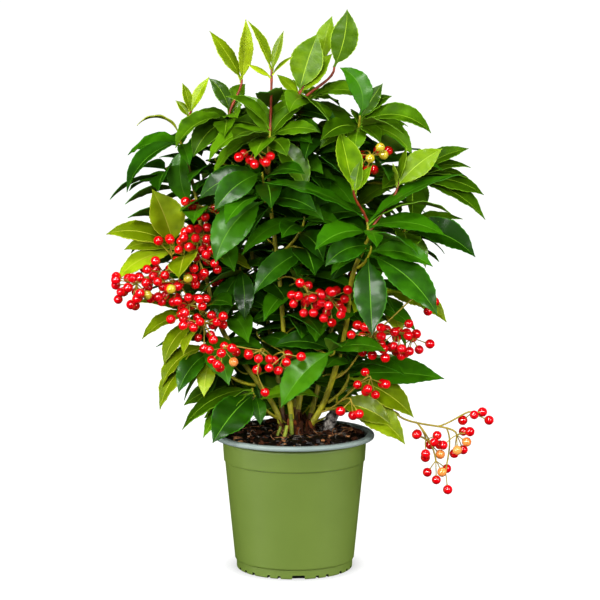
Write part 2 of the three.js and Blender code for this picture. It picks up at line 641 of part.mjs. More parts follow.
// A named leaf is [heading, rise, length, how far it is rolled to the front, droop, how much
// wider it is than most]
const FOLIAGE = [
  {
    name: "foliage_upper_left",
    on: "stem_left",
    share: 1,
    rosettes: [
      {
        at: [-92, 4, 350],
        leaves: [[186, 84, 46, 0, 135], [187, -9, 63, 26, 70, 0.92], [284, -5, 32], [222, -70, 50, 14, 50], [20, 30, 52]],
        more: 3,
      },
      { at: [-83, 0, 372], leaves: [[198, 82, 24, 70], [8, 70, 34, 40, 12, 0.65], [191, 60, 17, 70]], droop: 12 },
    ],
  },
  {
    name: "foliage_crown_right",
    on: "stem_back_right",
    share: 1,
    rosettes: [
      {
        at: [52, -14, 369],
        leaves: [
          [180, 114, 48, 60, 80],
          [15, 60, 34, 50, 12],
          [22, 64, 36],
          [355, 36, 63, 30, 85],
          [345, 8, 52, 40, 66],
          [262, -5, 36],
          [300, -10, 34],
          [218, 5, 44],
        ],
        more: 3,
      },
    ],
  },
  {
    name: "foliage_top_left",
    on: "stem_back_left",
    share: 1,
    rosettes: [
      {
        at: [-52, 3, 371],
        leaves: [[158, 82, 34, 55], [52, 78, 34, 50], [194, 12, 58, 25, 75], [224, -18, 50, 35], [150, 40, 34, 30], [330, 10, 48]],
        more: 3,
      },
      { at: [-42, 5, 397], leaves: [[184, 66, 47, 55, 12, 0.85], [180, 100, 51, 50, 12, 0.75]] },
    ],
  },
  {
    name: "foliage_top_front",
    on: "stem_front",
    share: 1,
    rosettes: [
      {
        at: [-19, -28, 360],
        leaves: [
          [187, 40, 44],
          [203, 14, 62, 14, 70, 0.9],
          [190, 0, 60, 16, 70, 0.9],
          [340, 34, 45],
          [25, 70, 42, 40],
          [152, 60, 46],
          [330, -22, 56, 45],
          [290, 0, 40],
        ],
        more: 2,
      },
      {
        at: [-18, -12, 406],
        leaves: [[183, 71, 43, 45, 10, 0.8], [0, 79, 34, 55, 8, 0.6], [0, 46, 22, 10], [185, 34, 22]],
        droop: 10,
      },
    ],
  },
  {
    name: "foliage_top_right",
    on: "stem_middle",
    share: 1,
    rosettes: [
      { at: [4, -3, 388], leaves: [[350, 78, 49, 80, 12, 1.3], [4, 58, 42, 55], [159, 52, 26]], droop: 12 },
      { at: [22, 5, 409], leaves: [[0, 85, 40, 60]], droop: 8 },
      { at: [32, 0, 407], leaves: [[180, 116, 48, 78, 26, 1.15]] },
      { at: [14, 12, 384], leaves: [[330, 25, 54, 35], [200, 20, 45], [5, 35, 50]], more: 4 },
    ],
  },
  {
    name: "foliage_front_right",
    on: "stem_right",
    share: 1,
    rosettes: [
      {
        at: [57, -46, 290],
        leaves: [
          [195, 28, 92, 28, 35, 0.85],
          [5, 45, 86, 22, 42, 0.85],
          [10, 44, 74, 10, 84],
          [352, 22, 64, 25, 50],
          [283, 10, 38],
          [192, 8, 38, 45],
        ],
        more: 1,
      },
      { at: [46, -58, 313], leaves: [[118, 66, 52, 0, 8, 1.25], [20, 60, 26, 30], [70, 70, 28]], droop: 12 },
      { at: [82, -36, 318], leaves: [[0, 82, 28, 30], [229, 80, 18], [5, 54, 48, 70, 22, 1.15]], droop: 12 },
    ],
  },
  {
    name: "foliage_front_right_lower",
    on: "stem_right",
    share: 0.86,
    rosettes: [
      {
        at: [60, -54, 269],
        leaves: [[217, 15, 50, 60], [200, 0, 40], [345, 14, 52, 42], [334, -15, 75, 45, 45], [272, -38, 69, 0, 45]],
        facing: 35,
      },
    ],
  },
  {
    name: "foliage_right",
    on: "bough_right",
    share: 1,
    rosettes: [
      { at: [89, 2, 278], leaves: [[350, 6, 64, 48, 55], [330, -32, 36, 50, 45], [15, 36, 54, 30]], more: 4 },
    ],
  },
  {
    name: "foliage_right_upper",
    on: "bough_right_upper",
    share: 1,
    rosettes: [
      {
        at: [100, 15, 322],
        leaves: [
          [19, 40, 49, 15, 30],
          [10, 22, 44, 30, 50],
          [5, 30, 48, 30, 56],
          [352, 22, 60, 25, 52],
          [345, 5, 68, 36, 46],
          [300, -25, 28, 40],
          [170, 30, 44],
        ],
        more: 3,
      },
    ],
  },
  {
    name: "foliage_right_lower",
    on: "bough_right_lower",
    share: 1,
    rosettes: [{ at: [74, 15, 226], leaves: [[354, -1, 58, 35], [338, 10, 50, 40], [300, -20, 44]], more: 5 }],
  },
  {
    name: "foliage_front_upper",
    on: "stem_front",
    share: 0.8,
    rosettes: [
      { at: [-25, -42, 326], leaves: [[218, -8, 54, 45], [182, 20, 56, 45], [30, 10, 50]], facing: 40, more: 2 },
      { at: [-23, -48, 304], leaves: [[212, -16, 68, 48]], facing: 40, more: 2 },
    ],
  },
  {
    name: "foliage_centre",
    on: "stem_front",
    share: 0.57,
    rosettes: [
      { at: [8, -32, 290], leaves: [[204, 0, 62, 30], [327, 20, 34]], facing: 35, more: 3 },
      { at: [14, -28, 264], leaves: [[201, -10, 60, 35]], facing: 35, more: 3 },
    ],
  },
  {
    name: "foliage_left",
    on: "stem_left",
    share: 0.66,
    rosettes: [
      {
        at: [-97, -4, 264],
        leaves: [[196, 76, 50, 78, 8, 1.5], [184, 42, 60, 25, 60], [169, 30, 46], [191, 6, 57, 25, 55], [30, 45, 34], [60, 60, 44]],
        more: 2,
      },
    ],
  },
  {
    name: "foliage_left_middle",
    on: "stem_back_left",
    share: 0.42,
    rosettes: [
      { at: [-44, 2, 246], leaves: [[336, 30, 34], [282, -34, 46], [221, -36, 56], [180, 30, 50]], more: 4 },
    ],
  },
  {
    name: "foliage_left_lower",
    on: "stem_left",
    share: 0.36,
    rosettes: [
      { at: [-78, 6, 208], leaves: [[193, 6, 52, 20, 62], [171, 40, 56], [200, -16, 50, 15, 60]], more: 3 },
    ],
  },
  {
    name: "foliage_low_left",
    on: "stem_left",
    share: 0.26,
    rosettes: [
      {
        at: [-69, -6, 183],
        leaves: [[186, -2, 54, 14, 72], [189, -9, 67, 16, 62], [222, -12, 48, 30], [250, -30, 40]],
        more: 2,
      },
    ],
  },
  {
    name: "foliage_foot_left",
    on: "stem_left",
    share: 0.12,
    rosettes: [
      {
        at: [-34, -15, 150],
        leaves: [[190, 2, 69, 15, 60], [207, -12, 58, 8], [238, -33, 66, 45, 36, 1.2], [285, -14, 30]],
        facing: 40,
        more: 2,
      },
    ],
  },
  {
    name: "foliage_low_front",
    on: "stem_front",
    share: 0.34,
    rosettes: [
      {
        at: [32, -38, 184],
        leaves: [[209, -20, 66, 50, 36, 1.15], [185, 34, 50], [100, 35, 44]],
        facing: 40,
      },
    ],
  },
  {
    name: "foliage_low_right",
    on: "stem_right",
    share: 0.24,
    rosettes: [
      {
        at: [44, -6, 160],
        leaves: [[358, 8, 78, 48, 22], [350, -10, 64, 45, 35], [30, 10, 54]],
        facing: 40,
        more: 2,
      },
      {
        at: [34, -12, 137],
        leaves: [[338, 4, 52, 60, 40], [346, -4, 68, 55, 45], [60, 16, 44]],
        facing: 40,
      },
    ],
  },
  {
    name: "foliage_inner",
    on: "stem_middle",
    share: 0.4,
    rosettes: [{ at: [6, -6, 222], leaves: [[200, 10, 60], [330, 5, 60]], more: 4 }],
  },
  {
    name: "foliage_inner_high",
    on: "stem_middle",
    share: 0.72,
    rosettes: [{ at: [16, 4, 322], leaves: [[330, -10, 56], [250, -30, 50], [200, 0, 54]], more: 4 }],
  },
  {
    name: "foliage_back_top",
    on: "stem_back",
    share: 1,
    rosettes: [{ at: [-4, 40, 364], more: 8, size: 60, rise: 34 }],
  },
  {
    name: "foliage_back_upper_left",
    on: "stem_back",
    share: 0.72,
    rosettes: [{ at: [-48, 66, 318], more: 7, size: 66, rise: 30 }],
  },
  {
    name: "foliage_back_upper_right",
    on: "stem_back",
    share: 0.66,
    rosettes: [{ at: [46, 62, 322], more: 7, size: 66, rise: 30 }],
  },
  {
    name: "foliage_back_left",
    on: "bough_back_left",
    share: 1,
    rosettes: [{ at: [-74, 64, 256], more: 7, size: 66, rise: 25 }],
    umbels: [{ at: [-60, 80, 236], berries: 7 }],
  },
  {
    name: "foliage_back_right",
    on: "bough_back_right",
    share: 1,
    rosettes: [{ at: [62, 70, 258], more: 7, size: 66, rise: 25 }],
    umbels: [{ at: [52, 88, 238], berries: 7 }],
  },
  {
    name: "foliage_back_middle",
    on: "stem_back",
    share: 0.5,
    rosettes: [{ at: [-8, 84, 262], more: 7, size: 66, rise: 20 }],
  },
  {
    name: "foliage_back_low",
    on: "bough_back_low",
    share: 1,
    rosettes: [{ at: [34, 70, 174], more: 7, size: 64, rise: 18 }],
    umbels: [{ at: [20, 88, 160], berries: 6 }],
  },
  {
    name: "foliage_back_low_left",
    on: "bough_back_low_left",
    share: 1,
    rosettes: [{ at: [-56, 46, 176], more: 7, size: 64, rise: 18 }],
  },
];

const masses = [
  ...FRUIT_SPRAYS.map((spray, i) => ({ ...spray, number: i + 1 })),
  ...FOLIAGE.map((mass, i) => ({ ...mass, number: i + 20 })),
];

addNode("pot", makePot(), MATERIALS.pot);
addNode("soil", makeSoil(), MATERIALS.soil);

for (const [name, { through, radii }] of Object.entries(STEMS)) {
  const points = through.map(vec);
  points[0].z = SOIL.topHeight + CLEAR;
  addLimb(name, new THREE.CatmullRomCurve3(points, false, "catmullrom"), radii, 6, 9, 0.9);
}
for (const [name, bough] of Object.entries(BOUGHS)) {
  const target = vec(bough.to);
  const root = rootOn(limbs[bough.on], bough.share, target, bough.radii[0]);
  const line = sprigLine(root, target, bough.lift ?? 0.2);
  addLimb(name, line, bough.radii, 5, 5, 0);
}
masses.forEach(growTwigs);
masses.forEach(growMass);

export default plant;
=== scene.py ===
# Potted coral ardisia: a clump of upright stems in a round nursery pot, with rosettes of
# leathery leaves at the twig ends and drooping umbels of round red berries below them.
# Lengths are in millimetres and angles in degrees, as in the part's source, and a mesh is
# scaled to metres as it is made. +Z is up and -Y is the front. The camera comes first, then
# the sizes and tables, the rule by which the plant grows, how pieces are made, the leaves, the
# materials, the plant, the pot, the soil and the light.
import math

import bmesh
import bpy
import numpy as np
from mathutils import Matrix, Vector, noise
from mathutils.bvhtree import BVHTree
from mathutils.kdtree import KDTree


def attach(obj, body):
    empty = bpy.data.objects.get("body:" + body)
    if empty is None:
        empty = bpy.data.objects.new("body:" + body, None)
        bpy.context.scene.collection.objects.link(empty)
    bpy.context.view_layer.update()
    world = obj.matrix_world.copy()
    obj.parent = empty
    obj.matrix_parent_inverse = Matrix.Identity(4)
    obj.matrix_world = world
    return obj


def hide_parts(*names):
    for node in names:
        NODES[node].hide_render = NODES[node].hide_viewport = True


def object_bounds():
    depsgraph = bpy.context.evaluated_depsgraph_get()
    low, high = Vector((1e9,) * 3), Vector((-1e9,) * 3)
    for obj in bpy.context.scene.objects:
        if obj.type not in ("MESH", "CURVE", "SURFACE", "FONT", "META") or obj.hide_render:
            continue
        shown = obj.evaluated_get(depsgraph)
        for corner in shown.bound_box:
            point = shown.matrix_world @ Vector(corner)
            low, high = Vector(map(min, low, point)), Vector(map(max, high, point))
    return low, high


METRE = 0.001
FRONT = 270

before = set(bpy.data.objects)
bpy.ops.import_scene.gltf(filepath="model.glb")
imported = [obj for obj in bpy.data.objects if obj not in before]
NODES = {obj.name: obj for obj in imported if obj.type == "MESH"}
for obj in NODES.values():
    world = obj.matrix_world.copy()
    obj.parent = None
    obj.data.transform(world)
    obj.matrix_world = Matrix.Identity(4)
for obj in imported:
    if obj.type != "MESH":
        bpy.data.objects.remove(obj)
cad_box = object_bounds()


# The camera of the photograph
CAMERA_AT = Vector((4.5, -1769, 443))
CAMERA_PITCH_DOWN = 7.2
CAMERA_LENS = 132.3
CAMERA_SENSOR = 36


def make_camera():
    data = bpy.data.cameras.new("camera")
    data.lens = CAMERA_LENS
    data.sensor_width = CAMERA_SENSOR
    data.clip_start = 0.05
    data.clip_end = 100
    camera = bpy.data.objects.new("camera", data)
    camera.location = CAMERA_AT * METRE
    camera.rotation_euler = (math.radians(90 - CAMERA_PITCH_DOWN), 0, 0)
    bpy.context.scene.collection.objects.link(camera)
    bpy.context.scene.camera = camera


make_camera()


# The named sizes of the part's source
CLEAR = 0.3
POT = {
    "height": 111,
    "rim_radius": 65,
    "lip_height": 4,
    "band_top_radius": 58.5,
    "band_foot_radius": 57.5,
    "band_foot_height": 88.8,
    "body_top_radius": 56.6,
    "body_foot_radius": 48.7,
    "foot_height": 8,
    "foot_radius": 47.3,
    "wall": 1.2,
    "floor": 4,
    "sides": 144,
}
NOTCH = {"height": 3.2, "depth": 4.5, "wide": 11, "narrow": 3.4, "first": 274, "every": 120}
NARROW_NOTCHES = (19, 30, 48, 60, 72, 90, 101)
SOIL = {"edge_height": 105, "shoulder_height": 109.5, "shoulder_radius": 51, "top_height": 111}
LEAF = {"width_share": 0.38, "step_down": 2.2, "most_down": 0.6, "rise_step": 5}

# How far the leaves of a rosette differ: in degrees, or the least share of the measure and what
# may be added to it
SPREAD = {
    "rise": 14,
    "roll": 16,
    "length": (0.82, 0.2),
    "droop": (0.9, 0.2),
    "breadth": (0.92, 0.18),
}
BERRY = {
    "radius": 3.9,
    "apart": 8.1,
    "stalk": 11.5,
    "stalk_spread": 3.5,
    "stalk_each": 0.25,
    "turn": 33,
    "tries": 30,
    "pole": 1.08,
}
TWIG = {"root_radius": 1.5, "tip_radius": 0.9, "stalk_radius": 0.8, "steps": 3}
COMMON_ROSETTE = {"rise": 30, "droop": 55, "size": 60, "facing": 30, "more": 0}

# How far the crown's middle line stands behind the pot's
CROWN_MIDDLE = 15
GOLDEN = 137.5

# Every stem: its radii at foot and tip, and the points it runs through
STEMS = {
    "stem_right": (
        (2.6, 1.7),
        ((9, -4, 0), (22, -7, 133), (31, -12, 158), (41, -22, 199), (46, -35, 243), (57, -44, 271)),
    ),
    "stem_left": (
        (2.3, 1.3),
        ((-9, -3, 0), (-19, -2, 137), (-56, 2, 190), (-71, 4, 236), (-77, 6, 290), (-88, 7, 338)),
    ),
    "stem_front": (
        (2.2, 1.3),
        ((-1, -9, 0), (-6, -8, 160), (-12, -14, 240), (-19, -22, 300), (-20, -27, 343)),
    ),
    "stem_middle": ((2.2, 1.2), ((1, 1, 0), (8, 12, 180), (3, 10, 270), (2, 2, 330), (4, -2, 372))),
    "stem_back_right": (
        (2.2, 1.2),
        ((10, 5, 0), (24, 20, 165), (42, 22, 250), (50, 6, 320), (51, -8, 352)),
    ),
    "stem_back_left": (
        (2, 1.2),
        ((-8, 7, 0), (-18, 22, 180), (-36, 24, 260), (-48, 14, 320), (-53, 8, 357)),
    ),
    "stem_back": (
        (2.2, 1.2),
        ((1, 11, 0), (-2, 36, 175), (-4, 52, 250), (-6, 52, 310), (-4, 42, 352)),
    ),
}

# Every bough: the limb that bears it, the share of that limb's run where it leaves, its end,
# how far it arrives rising, and its radii
BOUGHS = {
    "bough_fruiting": ("stem_right", 0.2, (84, -14, 127), -0.1, (1.5, 1.2)),
    "bough_right": ("stem_back_right", 0.5, (84, 6, 268), 0.2, (1.3, 1.1)),
    "bough_right_upper": ("stem_back_right", 0.72, (93, 18, 312), 0.2, (1.3, 1.1)),
    "bough_right_lower": ("stem_back_right", 0.34, (68, 18, 215), 0.2, (1.3, 1.1)),
    "bough_back_right": ("stem_back", 0.42, (52, 62, 252), 0.2, (1.3, 1.1)),
    "bough_back_left": ("stem_back", 0.4, (-62, 58, 246), 0.2, (1.3, 1.1)),
    "bough_back_low": ("stem_back", 0.16, (28, 62, 165), 0.2, (1.3, 1.1)),
    "bough_back_low_left": ("stem_back_left", 0.18, (-48, 42, 166), 0.2, (1.3, 1.1)),
}


def outward_from(at):
    """The heading of a place, seen from the crown's middle line."""
    return math.degrees(math.atan2(at[1] - CROWN_MIDDLE, at[0]))


def whorl(at, *leaves, **looks):
    """A rosette at a twig's end. The leaves that show are given by heading, rise and length,
    and by facing, droop and breadth where these aren't the common ones."""
    common = {**COMMON_ROSETTE, "outward": outward_from(at)}
    return {**common, **looks, "at": at, "leaves": leaves}


def mass_on(name, on, share, *rosettes, umbels=()):
    """A mass by its name, the limb that bears it, the share of the limb's run where it
    leaves, and its twigs' ends. An umbel has its place, its berries and how they hang."""
    ends = [{"at": (x, y, z), "berries": count, "fall": fall} for x, y, z, count, fall in umbels]
    return {"name": name, "on": on, "share": share, "rosettes": rosettes, "umbels": ends}


FRUIT_SPRAYS = [
    mass_on(
        "fruit_left", "stem_left", 0.6,
        umbels=((-104, -20, 243, 11, -30), (-126, -26, 236, 12, -30), (-92, -26, 236, 9, -30)),
    ),
    mass_on(
        "fruit_upper_left", "stem_left", 0.72,
        umbels=((-70, -12, 295, 6, -30), (-76, -16, 272, 9, -30)),
    ),
    mass_on(
        "fruit_left_lower", "stem_left", 0.44,
        umbels=((-72, -28, 204, 9, -30), (-84, -22, 218, 9, -30)),
    ),
    mass_on(
        "fruit_low_left", "stem_front", 0.26,
        umbels=((-27, -44, 184, 6, -60), (-56, -44, 186, 9, -50), (-8, -48, 182, 5, -60)),
    ),
    mass_on(
        "fruit_centre", "stem_front", 0.5,
        umbels=((11, -46, 230, 9, -30), (29, -44, 226, 9, -30)),
    ),
    mass_on(
        "fruit_right", "stem_right", 0.4,
        umbels=((63, -38, 197, 10, -30), (81, -34, 198, 8, -30), (94, -30, 192, 4, -30)),
    ),
    mass_on(
        "fruit_low_right", "stem_right", 0.18,
        umbels=((61, -38, 161, 7, -30), (45, -42, 144, 3, -80)),
    ),
    mass_on(
        "fruit_far_right", "bough_fruiting", 1,
        umbels=(
            (131, -20, 112, 6, -30), (106, -18, 108, 8, -30), (143, -14, 129, 4, 5),
            (114, -22, 91, 4, -50),
        ),
    ),
    mass_on("fruit_top_centre", "stem_front", 0.88, umbels=((-31, -56, 345, 6, -60),)),
    mass_on("fruit_top_right", "stem_back_right", 0.88, umbels=((60, -34, 338, 9, -30),)),
]

FOLIAGE = [
    mass_on(
        "foliage_upper_left", "stem_left", 1,
        whorl(
            (-92, 4, 350), (186, 84, 46, 0, 135), (187, -9, 63, 26, 70, 0.92), (284, -5, 32),
            (222, -70, 50, 14, 50), (20, 30, 52), more=3,
        ),
        whorl(
            (-83, 0, 372), (198, 82, 24, 70), (8, 70, 34, 40, 12, 0.65), (191, 60, 17, 70),
            droop=12,
        ),
    ),
    mass_on(
        "foliage_crown_right", "stem_back_right", 1,
        whorl(
            (52, -14, 369), (180, 114, 48, 60, 80), (15, 60, 34, 50, 12), (22, 64, 36),
            (355, 36, 63, 30, 85), (345, 8, 52, 40, 66), (262, -5, 36), (300, -10, 34),
            (218, 5, 44), more=3,
        ),
    ),
    mass_on(
        "foliage_top_left", "stem_back_left", 1,
        whorl(
            (-52, 3, 371), (158, 82, 34, 55), (52, 78, 34, 50), (194, 12, 58, 25, 75),
            (224, -18, 50, 35), (150, 40, 34, 30), (330, 10, 48), more=3,
        ),
        whorl((-42, 5, 397), (184, 66, 47, 55, 12, 0.85), (180, 100, 51, 50, 12, 0.75)),
    ),
    mass_on(
        "foliage_top_front", "stem_front", 1,
        whorl(
            (-19, -28, 360), (187, 40, 44), (203, 14, 62, 14, 70, 0.9),
            (190, 0, 60, 16, 70, 0.9), (340, 34, 45), (25, 70, 42, 40), (152, 60, 46),
            (330, -22, 56, 45), (290, 0, 40), more=2,
        ),
        whorl(
            (-18, -12, 406), (183, 71, 43, 45, 10, 0.8), (0, 79, 34, 55, 8, 0.6),
            (0, 46, 22, 10), (185, 34, 22), droop=10,
        ),
    ),
    mass_on(
        "foliage_top_right", "stem_middle", 1,
        whorl(
            (4, -3, 388), (350, 78, 49, 80, 12, 1.3), (4, 58, 42, 55), (159, 52, 26), droop=12,
        ),
        whorl((22, 5, 409), (0, 85, 40, 60), droop=8),
        whorl((32, 0, 407), (180, 116, 48, 78, 26, 1.15)),
        whorl((14, 12, 384), (330, 25, 54, 35), (200, 20, 45), (5, 35, 50), more=4),
    ),
    mass_on(
        "foliage_front_right", "stem_right", 1,
        whorl(
            (57, -46, 290), (195, 28, 92, 28, 35, 0.85), (5, 45, 86, 22, 42, 0.85),
            (10, 44, 74, 10, 84), (352, 22, 64, 25, 50), (283, 10, 38), (192, 8, 38, 45),
            more=1,
        ),
        whorl(
            (46, -58, 313), (118, 66, 52, 0, 8, 1.25), (20, 60, 26, 30), (70, 70, 28), droop=12,
        ),
        whorl(
            (82, -36, 318), (0, 82, 28, 30), (229, 80, 18), (5, 54, 48, 70, 22, 1.15), droop=12,
        ),
    ),
    mass_on(
        "foliage_front_right_lower", "stem_right", 0.86,
        whorl(
            (60, -54, 269), (217, 15, 50, 60), (200, 0, 40), (345, 14, 52, 42),
            (334, -15, 75, 45, 45), (272, -38, 69, 0, 45), facing=35,
        ),
    ),
    mass_on(
        "foliage_right", "bough_right", 1,
        whorl(
            (89, 2, 278), (350, 6, 64, 48, 55), (330, -32, 36, 50, 45), (15, 36, 54, 30),
            more=4,
        ),
    ),
    mass_on(
        "foliage_right_upper", "bough_right_upper", 1,
        whorl(
            (100, 15, 322), (19, 40, 49, 15, 30), (10, 22, 44, 30, 50), (5, 30, 48, 30, 56),
            (352, 22, 60, 25, 52), (345, 5, 68, 36, 46), (300, -25, 28, 40), (170, 30, 44),
            more=3,
        ),
    ),
    mass_on(
        "foliage_right_lower", "bough_right_lower", 1,
        whorl((74, 15, 226), (354, -1, 58, 35), (338, 10, 50, 40), (300, -20, 44), more=5),
    ),
    mass_on(
        "foliage_front_upper", "stem_front", 0.8,
        whorl(
            (-25, -42, 326), (218, -8, 54, 45), (182, 20, 56, 45), (30, 10, 50), more=2,
            facing=40,
        ),
        whorl((-23, -48, 304), (212, -16, 68, 48), more=2, facing=40),
    ),
    mass_on(
        "foliage_centre", "stem_front", 0.57,
        whorl((8, -32, 290), (204, 0, 62, 30), (327, 20, 34), more=3, facing=35),
        whorl((14, -28, 264), (201, -10, 60, 35), more=3, facing=35),
    ),
    mass_on(
        "foliage_left", "stem_left", 0.66,
        whorl(
            (-97, -4, 264), (196, 76, 50, 78, 8, 1.5), (184, 42, 60, 25, 60), (169, 30, 46),
            (191, 6, 57, 25, 55), (30, 45, 34), (60, 60, 44), more=2,
        ),
    ),
    mass_on(
        "foliage_left_middle", "stem_back_left", 0.42,
        whorl(
            (-44, 2, 246), (336, 30, 34), (282, -34, 46), (221, -36, 56), (180, 30, 50), more=4,
        ),
    ),
    mass_on(
        "foliage_left_lower", "stem_left", 0.36,
        whorl(
            (-78, 6, 208), (193, 6, 52, 20, 62), (171, 40, 56), (200, -16, 50, 15, 60), more=3,
        ),
    ),
    mass_on(
        "foliage_low_left", "stem_left", 0.26,
        whorl(
            (-69, -6, 183), (186, -2, 54, 14, 72), (189, -9, 67, 16, 62), (222, -12, 48, 30),
            (250, -30, 40), more=2,
        ),
    ),
    mass_on(
        "foliage_foot_left", "stem_left", 0.12,
        whorl(
            (-34, -15, 150), (190, 2, 69, 15, 60), (207, -12, 58, 8),
            (238, -33, 66, 45, 36, 1.2), (285, -14, 30), more=2, facing=40,
        ),
    ),
    mass_on(
        "foliage_low_front", "stem_front", 0.34,
        whorl(
            (32, -38, 184), (209, -20, 66, 50, 36, 1.15), (185, 34, 50), (100, 35, 44),
            facing=40,
        ),
    ),
    mass_on(
        "foliage_low_right", "stem_right", 0.24,
        whorl(
            (44, -6, 160), (358, 8, 78, 48, 22), (350, -10, 64, 45, 35), (30, 10, 54), more=2,
            facing=40,
        ),
        whorl(
            (34, -12, 137), (338, 4, 52, 60, 40), (346, -4, 68, 55, 45), (60, 16, 44),
            facing=40,
        ),
    ),
    mass_on(
        "foliage_inner", "stem_middle", 0.4,
        whorl((6, -6, 222), (200, 10, 60), (330, 5, 60), more=4),
    ),
    mass_on(
        "foliage_inner_high", "stem_middle", 0.72,
        whorl((16, 4, 322), (330, -10, 56), (250, -30, 50), (200, 0, 54), more=4),
    ),
    mass_on("foliage_back_top", "stem_back", 1, whorl((-4, 40, 364), more=8, rise=34)),
    mass_on(
        "foliage_back_upper_left", "stem_back", 0.72,
        whorl((-48, 66, 318), more=7, size=66),
    ),
    mass_on(
        "foliage_back_upper_right", "stem_back", 0.66,
        whorl((46, 62, 322), more=7, size=66),
    ),
    mass_on(
        "foliage_back_left", "bough_back_left", 1,
        whorl((-74, 64, 256), more=7, rise=25, size=66),
        umbels=((-60, 80, 236, 7, -30),),
    ),
    mass_on(
        "foliage_back_right", "bough_back_right", 1,
        whorl((62, 70, 258), more=7, rise=25, size=66),
        umbels=((52, 88, 238, 7, -30),),
    ),
    mass_on(
        "foliage_back_middle", "stem_back", 0.5,
        whorl((-8, 84, 262), more=7, rise=20, size=66),
    ),
    mass_on(
        "foliage_back_low", "bough_back_low", 1,
        whorl((34, 70, 174), more=7, rise=18, size=64),
        umbels=((20, 88, 160, 6, -30),),
    ),
    mass_on(
        "foliage_back_low_left", "bough_back_low_left", 1,
        whorl((-56, 46, 176), more=7, rise=18, size=64),
    ),
]


# Growth, by the rule of the part's source
# The seeds of the random draws: what each mass counts for, then what is grown on it
SEEDS = {"each_mass": 50, "rosette": 12, "umbel": 25, "more_berries": 9000}
FIRST_SPRAY = 1
FIRST_FOLIAGE = 20


def random_from(seed):
    """A small repeatable random number generator, the same as the source's."""
    state = (seed + 1) * 2654435761 % 2**32

    def draw():
        nonlocal state
        state = (state * 1664525 + 1013904223) % 2**32
        return state / 2**32

    return draw


def mix(low, high, share):
    return low + (high - low) * share


def bezier(start, leave, arrive, end):
    """A curve as a function of the share of its run from 0 to 1."""

    def at(t):
        k = 1 - t
        first_half = start * (k * k * k) + leave * (3 * k * k * t)
        return first_half + arrive * (3 * k * t * t) + end * (t * t * t)

    return at


def spline(points):
    """The smooth curve through all the points."""
    before = points[0] * 2 - points[1]
    after = points[-1] * 2 - points[-2]
    run = [before, *points, after]

    def at(t):
        place = (len(points) - 1) * t
        step = min(int(place), len(points) - 2)
        w = place - step
        p0, p1, p2, p3 = run[step : step + 4]
        t0 = (p2 - p0) * 0.5
        t1 = (p3 - p1) * 0.5
        square = p1 * -3 + p2 * 3 - t0 * 2 - t1
        cube = p1 * 2 - p2 * 2 + t0 + t1
        return p1 + t0 * w + square * w**2 + cube * w**3

    return at


def first_heading(curve):
    return (curve(0.0001) - curve(0)).normalized()


def on_axis(curve, steps, share):
    """A place and heading on a rod's axis, which runs straight from ring to ring."""
    step = min(int(share * steps), steps - 1)
    start = curve(step / steps)
    end = curve((step + 1) / steps)
    return start.lerp(end, share * steps - step), (end - start).normalized()


def ring_frames(curve, steps):
    """The place of each ring of a rod and the two directions square to the rod there."""
    points = [curve(step / steps) for step in range(steps + 1)]
    frames = []
    across = None
    for step, point in enumerate(points):
        tangent = (point - points[step - 1]).normalized() if step else first_heading(curve)
        if 0 < step < steps:
            tangent = (tangent + (points[step + 1] - point).normalized()).normalized()
        guide = Vector((1, 0, 0)) if abs(tangent.y) > 0.9 else Vector((0, 1, 0))
        across = across.copy() if across else guide.cross(tangent)
        across = (across - tangent * across.dot(tangent)).normalized()
        frames.append((point, across, across.cross(tangent)))
    return frames


# A grown corner and its CAD corner lie within this distance
MATCH = 0.03


class CadPoints:
    """The corners of one CAD node, in millimetres, to tell what the source grew there."""

    def __init__(self, name):
        corners = NODES[name].data.vertices
        self.tree = KDTree(len(corners))
        for i, corner in enumerate(corners):
            self.tree.insert(corner.co / METRE, i)
        self.tree.balance()

    def has(self, point):
        return self.tree.find(point)[2] < MATCH


# How a twig leaves its limb: how far it slants, how far it runs on before it turns, the
# shares of the leading twig's run where it may leave, and what a turn costs there
LEAVING_SLANT = 0.7
LEAVING_RUN = 0.34
BRANCH_SHARES = (0.25, 0.4, 0.55, 0.7, 0.85)
TURN_COST = 1.6

# The shares beside a twig's own that the source tries for it, how often it tries, and how
# much further the twig swings at each try
SHARE_STEPS = (0, -0.012, 0.012, -0.025, 0.025)
TWIG_TRIES = 40
SWING_STEP = 0.02

# The rings of stems and boughs, and the flare of a stem's foot
STEM_STEPS = 9
BOUGH_STEPS = 5
STEM_FLARE = 0.9
FLARE_FADE = 30

# The share of a twig's run where the stalks of its umbel start
KNOT_SHARE = 0.99

# Side twigs are thinner than the leading one, and those of umbels arrive from above
SIDE_TWIG = {"thinner": 0.8, "umbel_tip": 0.7, "umbel_lift": -0.2, "lift": 0.3}

limbs = {}


def add_limb(name, curve, radii, steps, flare):
    """A limb's line, its rings and its radius, which flares towards its foot."""

    def radius_at(along):
        return mix(radii[0], radii[1], along) + flare * math.exp(-along * FLARE_FADE)

    limbs[name] = {"curve": curve, "steps": steps, "radius_at": radius_at}


def root_on(limb, share, target, radius):
    """Where a twig or bough leaves a limb: a hair clear of its tip, or of its side."""
    point, heading = on_axis(limb["curve"], limb["steps"], share)
    if share == 1:
        return point + heading * CLEAR, heading
    out = target - point
    out = (out - heading * out.dot(heading)).normalized()
    reach = limb["radius_at"](share) + CLEAR + radius * LEAVING_SLANT
    return point + out * reach, (out + heading * LEAVING_SLANT).normalized()


def sprig_line(root, target, lift, swing=(0, 0, 0)):
    """A twig's line: it leaves along one heading and arrives rising, bent by a swing."""
    point, heading = root
    reach = (target - point).length
    bend = Vector(swing) * reach
    leave = point + heading * (reach * LEAVING_RUN) + bend
    arrive = target + Vector((0, 0, -reach * lift)) + bend
    return bezier(point, leave, arrive, target)


